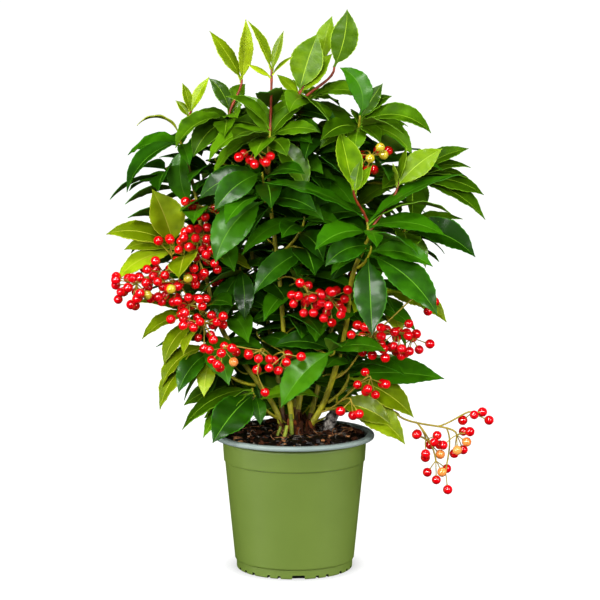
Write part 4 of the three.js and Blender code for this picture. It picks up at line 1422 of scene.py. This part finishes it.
def plain_material(name, dark, light, blotch_mm, roughness, bump_mm, **sockets):
    """Two close colours in blotches over a fine relief."""
    material, tree, shader = new_material(name, Roughness=roughness, **sockets)
    blotch = object_noise(tree, blotch_mm, Detail=4).outputs["Fac"]
    colour = ramp(tree, blotch, ((0.35, dark), (0.68, light)))
    tree.links.new(colour, shader.inputs["Base Color"])
    relief = object_noise(tree, blotch_mm / 3, Detail=4).outputs["Fac"]
    add_bump(tree, shader, relief, bump_mm, 0.6)
    return material


# The plant's pieces
BARK_RINGS = 60
BROWN_FOOT = 0.07
SCAR_STEP = 17
RIDGE_HEIGHT = 0.22
GRAIN_HEIGHT = 0.1
TWIG_RINGS = 10
TWIG_KNOBS = 0.12
YOUNG_SHOOTS = {
    ("foliage_top_left", 1): "young",
    ("foliage_top_front", 1): "young",
    ("foliage_top_right", 0): "fresh",
    ("foliage_top_right", 1): "fresh",
    ("foliage_top_right", 2): "fresh",
    ("foliage_upper_left", 1): "young",
    ("foliage_front_right", 1): "fresh",
    ("foliage_front_right", 2): "fresh",
}

# The masses whose leaves aren't mature ones, by the kind of their leaves
OLIVE_MASSES = ("foliage_left", "foliage_left_lower", "foliage_low_left", "foliage_right_lower")
MIDDLE_MASSES = (
    "foliage_top_left",
    "foliage_top_front",
    "foliage_top_right",
    "foliage_crown_right",
    "foliage_right_upper",
    "foliage_right",
    "foliage_foot_left",
    "foot_sprigs",
)
MASS_KINDS = {**dict.fromkeys(OLIVE_MASSES, "olive"), **dict.fromkeys(MIDDLE_MASSES, "middle")}

# Leaves of another kind than their mass, by their rosette and their place in it
ODD_LEAVES = {
    ("foliage_upper_left", 0, 0): "olive",
    ("foliage_crown_right", 0, 0): "mature",
    ("foliage_front_right", 0, 2): "middle",
    ("foliage_right", 0, 0): "mature",
    ("foliage_low_left", 0, 2): "mature",
    ("foliage_foot_left", 0, 2): "mature",
    ("foliage_foot_left", 0, 3): "mature",
    ("foliage_low_front", 0, 0): "inner",
    ("foliage_low_right", 0, 1): "olive",
    ("foliage_low_right", 1, 0): "olive",
    ("foliage_low_right", 1, 1): "olive",
}


def stems_piece(materials):
    """Stems and boughs with lengthwise ridges and leaf scars, browner at the stems' feet."""
    pattern = tube_pattern(16, BARK_RINGS, lambda face: face.calc_center_median().z < BROWN_FOOT)
    copies = []
    for i, (name, limb) in enumerate(limbs.items()):
        offset = 7.3 * i
        length = (limb["curve"](0) - limb["curve"](1)).length

        def relief(along, angle):
            place = Vector((math.cos(angle) + offset, math.sin(angle), along * length / 14))
            ridges = noise.noise(Vector((place.x * 2.2, place.y * 2.2, place.z * 0.5)))
            scars = max(0, math.cos(2 * math.pi * along * length / SCAR_STEP + offset) - 0.86)
            return RIDGE_HEIGHT * ridges + GRAIN_HEIGHT * noise.noise(place * 3) + 1.4 * scars

        corners = bent_tube(pattern, BARK_RINGS, limb["curve"], limb["radius_at"], relief)
        copies.append((pattern, corners, (0, 1) if name in STEMS else (0, 0)))
    return joined("stems_and_boughs", copies, materials)


def twigs_piece(masses, materials):
    pattern = tube_pattern(8, TWIG_RINGS)
    copies = []
    for mass in masses:
        for k, twig in enumerate(mass["twigs"]):
            root, tip = twig["root"], twig["tip"]
            knobs = 0 if twig["is_umbel"] else TWIG_KNOBS

            def radius_at(along):
                return mix(root, tip, along) * (1 + knobs * math.cos(along * 40))

            corners = bent_tube(pattern, TWIG_RINGS, twig["line"], radius_at)
            kind = 2 if twig["is_umbel"] else int((mass["name"], k) in YOUNG_SHOOTS)
            copies.append((pattern, corners, (kind,)))
    return joined("twigs", copies, materials)


def leaf_kind(leaf):
    """The kind of leaf by the spray it grows in."""
    place = (leaf["mass"], leaf["rosette"])
    if place in YOUNG_SHOOTS:
        return YOUNG_SHOOTS[place]
    if leaf["mass"] in limbs:
        return "inner"
    kind = ODD_LEAVES.get((*place, leaf["rank"]), MASS_KINDS.get(leaf["mass"], "mature"))
    return "mature" if kind == "olive" and leaf["rank"] == FINER_RANK else kind


def leaves_pieces(leaves, paints, nodes):
    """One piece of joined leaves for each kind."""
    cuts = [(leaf_pattern(cut), cut) for cut in (SHOWN_CUT, FILLING_CUT)]
    by_kind = {}
    random = random_from(7)
    for leaf in leaves:
        shade = int(random() * 3)
        pattern, cut = cuts[leaf["rank"] == FINER_RANK]
        copy = (pattern, leaf_corners(pattern, cut, shaped(leaf, random)), (shade, 3, 4, 5, 6))
        by_kind.setdefault(leaf_kind(leaf), []).append(copy)
    for kind, copies in by_kind.items():
        piece = joined(kind + "_leaves", copies, paints[kind], 35)
        dress(piece, nodes)


BERRY_RADIUS = 3.85
STALK_RADIUS = 0.42
RIPE, EYE, UNRIPE, HALF_RIPE = range(4)

# The berries that aren't ripe yet: where they show from the front, across and up
UNRIPE_BERRIES = (
    (-89, 244, UNRIPE),
    (-115, 231, UNRIPE),
    (-105, 229, UNRIPE),
    (-46, 176, HALF_RIPE),
    (56, 345, UNRIPE),
    (64, 335, UNRIPE),
    (72, 334, UNRIPE),
    (131, 108, HALF_RIPE),
    (136, 103, HALF_RIPE),
    (112, 88, HALF_RIPE),
    (119, 93, HALF_RIPE),
)


def unripe_kinds(berries):
    """The kind of each unripe berry: the foremost near its place."""
    kinds = {}
    for x, z, kind in UNRIPE_BERRIES:
        costs = [
            (math.hypot(berry["at"].x - x, berry["at"].z - z) + 0.3 * berry["at"].y, i)
            for i, berry in enumerate(berries)
            if i not in kinds
        ]
        kinds[min(costs)[1]] = kind
    return kinds


def berries_pieces(berries, materials, stalk_material, nodes):
    """Round berries with a small dry eye, each on a thin bent stalk from its umbel's knot."""
    ball = ball_pattern(12, 9, lambda face: face.calc_center_median().z > 0.985)
    stalk = tube_pattern(5, 5)
    balls, stalks = [], []
    random = random_from(3)
    unripe = unripe_kinds(berries)
    for i, berry in enumerate(berries):
        away = (berry["at"] - berry["root"]).normalized()
        turned = frame_along(away)
        size = BERRY_RADIUS * mix(0.94, 1.04, random())
        round_corners = np.array(berry["at"]) + ball.corners @ turned.T * size
        balls.append((ball, round_corners, (unripe.get(i, RIPE), EYE)))
        foot = berry["at"] - away * (size - 0.6)
        side = Vector(turned[:, 0])
        bow = side * mix(-1.4, 1.4, random()) + Vector((0, 0, mix(0.2, 1.2, random())))
        span = foot - berry["root"]
        line = bezier(berry["root"], berry["root"] + span * 0.35 + bow, foot - away * 3, foot)

        def radius_at(along):
            return STALK_RADIUS * (1 + 4.5 * max(0, along - 0.8))

        stalks.append((stalk, bent_tube(stalk, 5, line, radius_at), (0,)))
    dress(joined("berries", balls, materials, 60), nodes)
    dress(joined("berry_stalks", stalks, [stalk_material]), nodes)


# The pot's materials and hollow, and what lies on the soil or stands in it
# The third pot material is near-black: painted shade for the gap inside the drainage notches
GREEN_PLASTIC, GREY_PLASTIC, NOTCH_PAINTED_SHADE = range(3)
HOLLOW = {"height": 1, "ring": 6}
SOIL_CHIPS = 900
CHIP_ROUGHNESS = 0.5
CROWN_SCALES = 60
ROOT_FIBRES = 40
FIBRE_RADIUS = 0.26
CUT_STUBS = (
    ((-9, -27, 108), (-6, -24, 121), 1.5),
    ((-15, -20, 108), (-11, -18, 119), 1.2),
    ((-2, -13, 110), (-3, -12, 128), 1.6),
)


# The pot: a thin moulded wall with a rolled rim, green outside and grey inside
def spun(name, profile, materials, sides, slot_at=None):
    """A closed skin of revolution from its profile of radii and heights. slot_at gives the
    material number from a face's middle and normal."""
    bm = bmesh.new()
    verts = [bm.verts.new((radius, 0, height)) for radius, height in profile]
    for pair in zip(verts, verts[1:]):
        bm.edges.new(pair)
    bmesh.ops.spin(
        bm,
        geom=bm.verts[:] + bm.edges[:],
        axis=(0, 0, 1),
        cent=(0, 0, 0),
        angle=math.tau,
        steps=sides,
        use_merge=True,
    )
    bmesh.ops.remove_doubles(bm, verts=bm.verts[:], dist=1e-4)
    bmesh.ops.recalc_face_normals(bm, faces=bm.faces[:])
    bm.normal_update()
    if slot_at:
        for face in bm.faces:
            middle = face.calc_center_median()
            face.material_index = slot_at(middle, face.normal)
    return mesh_of(name, bm, materials)


def arc(radius, height, size, start, end, steps):
    """Points of a rounded corner about a centre."""
    angles = [math.radians(mix(start, end, i / steps)) for i in range(steps + 1)]
    return [(radius + size * math.cos(a), height + size * math.sin(a)) for a in angles]


def pot_profile():
    """The wall's section: out along the underside, up the outside, over the rolled rim and
    down the inside to the floor."""
    foot, foot_top = POT["foot_radius"], POT["foot_height"]
    body_foot, body_top = POT["body_foot_radius"], POT["body_top_radius"]
    band_foot, band_top = POT["band_foot_radius"], POT["band_top_radius"]
    band_edge, wall, lip, top = (
        POT[name] for name in ("band_foot_height", "wall", "rim_radius", "height")
    )
    under_lip = top - POT["lip_height"]
    floor = POT["floor"] + 0.5
    return [
        (0, HOLLOW["height"]),
        (foot - HOLLOW["ring"] - 1, HOLLOW["height"]),
        (foot - HOLLOW["ring"], 0),
        *arc(foot - 1, 1, 1, -90, 0, 4),
        (foot + 0.2, foot_top - 0.7),
        (foot - 0.1, foot_top - 0.45),
        (foot - 0.1, foot_top - 0.15),
        (body_foot - 0.25, foot_top),
        *(
            (mix(body_foot, body_top, share), mix(foot_top + 0.4, band_edge - 0.7, share))
            for share in (0, 0.01, 0.1, 0.3, 0.5, 0.7, 0.9, 0.99, 1)
        ),
        (body_top - 0.5, band_edge - 0.2),
        (band_foot - 0.25, band_edge),
        (band_foot, band_edge + 0.4),
        (mix(band_foot, band_top, 0.05), band_edge + 1.2),
        (mix(band_foot, band_top, 0.5), 97),
        (band_top - 0.15, under_lip - 3.6),
        (band_top - 0.1, under_lip - 2.6),
        (band_top - 0.3, under_lip - 2.3),
        (band_top - 0.3, under_lip - 1.9),
        (band_top - 0.05, under_lip - 1.6),
        (band_top + 0.1, under_lip - 0.5),
        (band_top + 1, under_lip),
        (lip - 1.5, under_lip + 0.1),
        *arc(lip - 1.2, under_lip + 1.3, 1.2, -80, 0, 4),
        *arc(lip - 1.9, top - 1.9, 1.9, 0, 90, 6),
        (lip - 3.6, top),
        *arc(lip - 4.4, top - 1.2, 1.2, 90, 170, 5),
        (band_top - wall, under_lip - 1),
        (band_foot - wall, band_edge),
        (body_foot - wall, foot_top + 1),
        (foot - wall - 2, floor),
        (0, floor),
    ]


def cut_notches(pot):
    """The drainage notches round the foot, wider below, cut by one joined cutter, whose near-black
    faces give the cut walls painted shade for the dark gap inside.
    """
    bm = bmesh.new()
    wide = [(NOTCH["first"] + NOTCH["every"] * i, NOTCH["wide"]) for i in range(3)]
    narrow = [(start + turn, NOTCH["narrow"]) for start, _ in wide for turn in NARROW_NOTCHES]
    for turn, width in wide + narrow:
        made = bmesh.ops.create_cube(bm, size=1)["verts"]
        height = NOTCH["height"] if width > 5 else NOTCH["height"] * 0.75
        bmesh.ops.scale(bm, verts=made, vec=(NOTCH["depth"] * 2, width, height * 2))
        top = [vert for vert in made if vert.co.z > 0]
        bmesh.ops.scale(bm, verts=top, vec=(1, 1 - 1.1 / width, 1))
        bmesh.ops.translate(bm, verts=made, vec=(POT["foot_radius"], 0, 0))
        spin = Matrix.Rotation(math.radians(turn), 4, "Z")
        bmesh.ops.transform(bm, verts=made, matrix=spin)
    # The cutter's faces pass the near-black painted shade on to the notches' cut walls
    for face in bm.faces:
        face.material_index = NOTCH_PAINTED_SHADE
    cutter = mesh_of("notch_cutter", bm, pot.data.materials)
    cut = pot.modifiers.new("notches", "BOOLEAN")
    cut.object = cutter
    cut.operation = "DIFFERENCE"
    cut.solver = "EXACT"
    with bpy.context.temp_override(object=pot, active_object=pot):
        bpy.ops.object.modifier_apply(modifier=cut.name)
    bpy.data.objects.remove(cutter)
    pot.data.set_sharp_from_angle(angle=math.radians(40))


def make_pot(materials):
    def slot_at(middle, normal):
        radius, height = middle.xy.length, middle.z
        under_lip = POT["height"] - POT["lip_height"] - 0.6
        faces_in = normal.x * middle.x + normal.y * middle.y < 0 or radius < 44
        if height > under_lip and radius > POT["band_top_radius"]:
            return GREY_PLASTIC
        return GREY_PLASTIC if faces_in and height > POT["floor"] else GREEN_PLASTIC

    pot = spun("pot_shell", pot_profile(), materials, POT["sides"], slot_at)
    cut_notches(pot)
    dress(pot, ["pot"])


# The soil: a dark mound of bark compost, with chips, grit and roots pressed into it
def soil_height(radius):
    """The mound's height at a distance from the pot's axis."""
    edge = POT["band_top_radius"] - POT["wall"]
    if radius > SOIL["shoulder_radius"]:
        share = (edge - radius) / (edge - SOIL["shoulder_radius"])
        return mix(SOIL["edge_height"], SOIL["shoulder_height"], math.sin(share * math.pi / 2))
    share = 1 - radius / SOIL["shoulder_radius"]
    heap = 2.2 * math.sin(math.pi * (1 - share) ** 3)
    return mix(SOIL["shoulder_height"], SOIL["top_height"] + 0.8, share**1.5) + heap


def soil_lumps(place):
    """How far the soil stands up at a place, from clods to crumbs."""
    clods = noise.fractal(place / 11, 0.9, 2.2, 4)
    crumbs = noise.fractal(place / 3, 1, 2, 3)
    return clods * 1.6 + crumbs * 0.9


def make_soil(material):
    edge = POT["band_top_radius"] - POT["wall"] - 0.1
    rings = 44
    top = [(edge * i / rings, soil_height(edge * i / rings)) for i in range(rings, -1, -1)]
    soil = spun("soil_mound", [(0, 98), (edge - 0.6, 98), *top], [material], 150)
    for vert in soil.data.vertices:
        if vert.co.z > 0.1 and math.hypot(vert.co.x, vert.co.y) < (edge - 0.2) * METRE:
            vert.co.z += soil_lumps(vert.co / METRE) * METRE
    soil.data.update()
    dress(soil, ["soil"])


def chip_pattern():
    bm = bmesh.new()
    bmesh.ops.create_cube(bm, size=2)
    bmesh.ops.bevel(
        bm,
        geom=bm.edges[:],
        offset=0.45,
        offset_type="OFFSET",
        affect="EDGES",
        segments=1,
        profile=0.5,
        material=-1,
    )
    bmesh.ops.recalc_face_normals(bm, faces=bm.faces[:])
    return Pattern(bm)


def roughened(chip, frequency, offset):
    """A chip's corners, each pushed in or out a little."""
    places = [Vector(corner) * frequency + Vector(offset) for corner in chip.corners]
    bumps = np.array([noise.noise(place) for place in places])
    return chip.corners * (1 + CHIP_ROUGHNESS * bumps)[:, None]


def chips_piece(materials):
    """Chips of bark and grit, most of them lying flat, and bigger ones among them."""
    chip = chip_pattern()
    random = random_from(21)
    copies = []
    for i in range(SOIL_CHIPS):
        radius = 55 * math.sqrt(random())
        around = math.tau * random()
        size = mix(0.7, 2, random() ** 2) * (1.9 if i % 7 == 0 else 1)
        shape = np.array((size * mix(1, 2.2, random()), size, size * mix(0.3, 0.7, random())))
        tilt = mix(-0.6, 0.6, random())
        turn = Matrix.Rotation(math.tau * random(), 3, "Z") @ Matrix.Rotation(tilt, 3, "X")
        at = np.array((radius * math.cos(around), radius * math.sin(around), 0))
        at[2] = soil_height(radius) + soil_lumps(Vector(at)) * 0.9 + 0.2 * size
        rough = roughened(chip, 1.1, (i, 0, 0))
        kind = (0, 0, 1, 0, 2, 0, 1, 3)[int(random() * 8)]
        copies.append((chip, at + (rough * shape) @ np.array(turn).T, (kind,)))
    return joined("soil_chips", copies, materials, 25)


def root_fibres(materials):
    """Thin dry roots that lie on the soil and loop up from it."""
    pattern = tube_pattern(5, 12)
    random = random_from(5)
    copies = []
    for i in range(ROOT_FIBRES):
        radius = 50 * math.sqrt(random())
        around = math.tau * random()
        start = Vector((radius * math.cos(around), radius * math.sin(around), 0))
        heading = math.tau * random()
        run = mix(8, 24, random())
        end = start + Vector((math.cos(heading), math.sin(heading), 0)) * run
        if end.xy.length > 52:
            continue
        for point in (start, end):
            point.z = soil_height(point.xy.length) + 0.2
        side = Vector((-math.sin(heading), math.cos(heading), 0)) * run * 0.3
        rise = Vector((0, 0, mix(0.5, 8, random() ** 2)))
        leave = start.lerp(end, 0.3) + side + rise
        line = bezier(start, leave, start.lerp(end, 0.7) - side + rise, end)
        corners = bent_tube(pattern, 12, line, lambda along: FIBRE_RADIUS)
        copies.append((pattern, corners, (i % 2,)))
    return joined("soil_roots", copies, materials)


def root_chunk(material):
    """The knobbly dry lump that stands beside the stems."""
    bm = bmesh.new()
    bmesh.ops.create_icosphere(bm, subdivisions=4, radius=1)
    for vert in bm.verts:
        vert.co *= 1 + 0.5 * noise.fractal(vert.co * 1.5, 0.9, 2.1, 4)
    bmesh.ops.scale(bm, verts=bm.verts[:], vec=(4.6, 4.2, 12.5))
    bmesh.ops.rotate(bm, verts=bm.verts[:], matrix=Matrix.Rotation(0.45, 3, "Y"))
    bmesh.ops.translate(bm, verts=bm.verts[:], vec=(30, 2, 119))
    chunk = mesh_of("dry_root_chunk", bm, [material])
    dress(chunk, [])


def cut_stubs(material):
    """Short stubs of pruned stems at the foot of the clump."""
    pattern = tube_pattern(12, 8)
    copies = []
    for start, end, radius in CUT_STUBS:
        low, high = Vector(start), Vector(end)
        line = bezier(low, low.lerp(high, 0.3), low.lerp(high, 0.7) + Vector((0.3, 0, 0)), high)
        corners = bent_tube(pattern, 8, line, lambda along: radius * (1.15 - 0.2 * along))
        copies.append((pattern, corners, (0,)))
    dress(joined("cut_stubs", copies, [material]), [])


def crown_scales(materials):
    """Dry papery scales round the stems' feet."""
    chip = chip_pattern()
    random = random_from(31)
    copies = []
    for i in range(CROWN_SCALES):
        around = math.radians(GOLDEN * i)
        reach = mix(3, 15, random())
        at = Vector((reach * math.cos(around) + 1, reach * math.sin(around) - 1, 0))
        at.z = soil_height(at.xy.length) + mix(0, 11, random() ** 1.5)
        shape = np.array((mix(1.2, 2.6, random()), 0.4, mix(2.5, 6, random())))
        lean = Matrix.Rotation(mix(-0.5, 0.5, random()), 3, "X")
        turn = np.array(Matrix.Rotation(around + math.pi / 2, 3, "Z") @ lean)
        rough = roughened(chip, 1.3, (0, i, 0))
        copies.append((chip, np.array(at) + (rough * shape) @ turn.T, (i % 2,)))
    return joined("crown_scales", copies, materials, 25)


# The plain floor and the light of a product photograph
def floor_material():
    """White floor that glows, its glow dimmed by ambient occlusion near the pot's foot: a faint
    painted contact shadow."""
    material, tree, shader = new_material(
        "white_glowing_floor_painted_contact_shadow",
        Base_Color=linear("#606060"),
        Roughness=0.9,
        Specular_IOR_Level=0,
        Emission_Color=linear("#ffffff"),
    )
    # The glow follows ambient occlusion, which paints the shadow round the pot's foot
    inputs = {"Distance": 32 * METRE}
    opening = add_node(tree, "ShaderNodeAmbientOcclusion", {"samples": 8}, inputs).outputs["AO"]
    inputs = {"Value": opening, "From Min": 0.5, "From Max": 0.8, "To Min": 0.66, "To Max": 0.97}
    lit = add_node(tree, "ShaderNodeMapRange", {}, inputs).outputs["Result"]
    tree.links.new(lit, shader.inputs["Emission Strength"])
    return material


def make_floor():
    """The floor throws no light back at the plant, whose undersides stay dark."""
    bm = bmesh.new()
    bmesh.ops.create_circle(bm, cap_ends=True, segments=96, radius=12000)
    floor = mesh_of("floor", bm, [floor_material()])
    floor.visible_diffuse = False
    floor.visible_glossy = False


def make_world():
    """A studio room: white at the horizon, dim overhead and below, so that glossy leaves
    and berries keep their own colour."""
    world = bpy.data.worlds.new("studio_room")
    bpy.context.scene.world = world
    world.use_nodes = True
    tree = world.node_tree
    background = tree.nodes["Background"]
    direction = add_node(tree, "ShaderNodeTexCoord", {}, {}).outputs["Generated"]
    height = add_node(tree, "ShaderNodeSeparateXYZ", {}, {"Vector": direction}).outputs["Z"]
    inputs = {"Value": height, "From Min": -1.0, "From Max": 1.0}
    share = add_node(tree, "ShaderNodeMapRange", {}, inputs).outputs["Result"]
    shade = ramp(
        tree,
        share,
        (
            (0, "#60605c"),
            (0.4, "#84847e"),
            (0.45, "#ffffff"),
            (0.56, "#ffffff"),
            (0.62, "#54585c"),
            (1, "#54585c"),
        ),
    )
    tree.links.new(shade, background.inputs["Color"])
    background.inputs["Strength"].default_value = 1.05
    world.cycles_visibility.glossy = False


def add_light(kind, name, at, target, power, size, mirrored=True):
    """A sun of an angular size in degrees, or a round softbox of a size in metres."""
    data = bpy.data.lights.new(name, kind)
    data.energy = power
    if kind == "SUN":
        data.angle = math.radians(size)
    else:
        data.shape = "DISK"
        data.size = size
    light = bpy.data.objects.new(name, data)
    light.visible_glossy = mirrored
    light.location = at
    way = Vector(target) - Vector(at)
    light.rotation_euler = way.to_track_quat("-Z", "Y").to_euler()
    bpy.context.scene.collection.objects.link(light)


VIEW_GAMMA = 0.86

# Name, place, power and size of the lights that show in the gloss of leaves and berries.
# The other lights only light the plant
MIRRORED_LIGHTS = (
    ("top_softbox", (-0.2, -0.9, 1.75), 17, 0.5),
    ("left_softbox", (-1.25, -1.5, 0.8), 24, 0.6),
    ("right_softbox", (1.25, -1.5, 0.8), 20, 0.6),
    ("front_softbox", (-0.3, -2.1, 1.05), 24, 0.46),
)


def make_light():
    """Soft light from above and from the front, and reflectors low at both sides."""
    make_world()
    middle = (0, 0, 0.25)
    low = (0, 0, 0.05)
    add_light("SUN", "soft_top_light", (0, -0.8, 3), (0, 0, 0), 1.3, 24, False)
    for name, at, power, size in MIRRORED_LIGHTS:
        add_light("AREA", name, at, middle, power, size)
    add_light("AREA", "back_softbox", (0, 1.9, 1.3), middle, 16, 0.8, False)
    add_light("AREA", "left_reflector", (-1.5, -0.35, 0.15), low, 29, 1.1, False)
    add_light("AREA", "right_reflector", (1.5, -0.35, 0.15), low, 28, 1.1, False)
    scene = bpy.context.scene
    scene.view_settings.view_transform = "Standard"
    scene.view_settings.look = "None"
    scene.view_settings.gamma = VIEW_GAMMA


# Everything made
# Each kind of leaf: three greens of its blade, then its midrib, margin and underside, and how
# strongly its coat and its wrinkles show
LEAF_LOOKS = {
    "young": ("#627804", "#7c9208", "#92a414", "#a6b434", "#9cac2e", "#8e9a20", 0.05, 0.02),
    "fresh": ("#426002", "#587804", "#6e8a06", "#8aa22a", "#829c26", "#788e1c", 0.08, 0.04),
    "middle": ("#2e4c00", "#3e6000", "#527806", "#769424", "#60861a", "#6c861e", 0.4, 0.2),
    "mature": ("#183c00", "#245000", "#346602", "#52801c", "#326808", "#567418", 0.45, 0.2),
    "olive": ("#5e7000", "#728604", "#869a12", "#9ea43a", "#909a2a", "#888e28", 0.2, 0.1),
    "inner": ("#1c4200", "#2a5800", "#3c6c06", "#4c7c18", "#30680c", "#4c7018", 0.25, 0.2),
}


def leaf_paints():
    """The materials of each kind of leaf: three shades of blade, then the other parts."""
    paints = {}
    for kind, (dark, base, light, rib, margin, under, coat, wrinkled) in LEAF_LOOKS.items():
        shades = ((dark, dark, base), (dark, base, light), (base, light, light))
        blade = kind + "_leaf_blade_waxy"
        paints[kind] = [leaf_material(blade, *shade, 0.38, coat, wrinkled) for shade in shades]
        for part, colour, roughness, part_coat in (
            ("midrib", rib, 0.5, 0.1),
            ("thin_margin", margin, 0.5, 0.1),
            ("underside_matt", under, 0.6, 0),
            ("under_midrib", rib, 0.6, 0),
        ):
            name = kind + "_leaf_" + part
            paints[kind].append(leaf_material(name, *[colour] * 3, roughness, part_coat))
    return paints


def berry_paints():
    gloss = {
        "Specular_IOR_Level": 0.05,
        "Coat_Weight": 1,
        "Coat_Roughness": 0.04,
        "Coat_IOR": 2.0,
    }
    return [
        plain_material("ripe_berry_glossy_skin", "#be000c", "#d40818", 9, 0.4, 0.02, **gloss),
        plain_material("berry_eye_dry", "#541210", "#74201a", 2, 0.6, 0.05),
        plain_material("unripe_berry_skin", "#a89a20", "#bca83a", 6, 0.4, 0.02, **gloss),
        plain_material("half_ripe_berry_skin", "#dc7a34", "#eca45c", 6, 0.4, 0.02, **gloss),
    ]


def make_plant():
    masses, leaves, berries = grow_plant()
    grow_finer(masses, leaves, berries)
    limb_nodes = [*STEMS, *BOUGHS]
    brown = plain_material("brown_stem_foot_bark", "#3a2208", "#6a4a14", 6, 0.65, 0.4)
    bark = plain_material("green_brown_stem_bark", "#78740c", "#a09c18", 7, 0.55, 0.3)
    shoot = plain_material("red_brown_young_shoot", "#6a2410", "#8c3c18", 5, 0.45, 0.1)
    stalk = plain_material("olive_fruit_stalk", "#80721c", "#a08e30", 5, 0.5, 0.1)
    dress(stems_piece([bark, brown]), limb_nodes)
    mass_nodes = [mass["name"] for mass in masses]
    dress(twigs_piece(masses, [bark, shoot, stalk]), mass_nodes)
    cut_stubs(plain_material("pruned_green_stub", "#5c6a10", "#8a9420", 4, 0.6, 0.2))
    leaves_pieces(leaves, leaf_paints(), mass_nodes)
    fruit_nodes = [mass["name"] for mass in masses if mass.get("umbels")]
    berries_pieces(berries, berry_paints(), stalk, fruit_nodes)


def make_ground():
    """The soil and all that lies on it."""
    wet = {"Specular_IOR_Level": 0.35}
    dry = {"Specular_IOR_Level": 0.15}
    black = plain_material("wet_black_compost", "#060302", "#160c07", 4, 0.4, 0.8, **wet)
    brown = plain_material("bark_chip_brown", "#28140a", "#4a2a16", 3, 0.8, 0.4, **dry)
    scale = plain_material("papery_crown_scale", "#4a2410", "#7c4420", 3, 0.7, 0.4, **dry)
    tan = plain_material("bark_chip_tan", "#6a4226", "#a07850", 3, 0.8, 0.4, **dry)
    grey = plain_material("pale_grit_grey", "#3a352f", "#7c746a", 3, 0.8, 0.4, **dry)
    make_soil(black)
    dress(chips_piece([black, brown, tan, grey]), [])
    dress(root_fibres([tan, grey]), [])
    dress(crown_scales([brown, scale]), [])
    root_chunk(plain_material("dry_root_grey_bark", "#100c0a", "#a09a92", 4, 0.8, 0.8, **dry))


def make_all():
    make_floor()
    make_light()
    make_pot(
        [
            plain_material("green_moulded_plastic", "#5d6f2e", "#647633", 60, 0.5, 0.02),
            plain_material("grey_moulded_plastic", "#727e7a", "#7a8581", 60, 0.38, 0.02),
            # Near-black painted shade for the inside of the drainage notches
            plain_material("notch_painted_shade_plastic", "#0c0d08", "#14160e", 60, 0.8, 0.02),
        ]
    )
    make_ground()
    make_plant()


make_all()
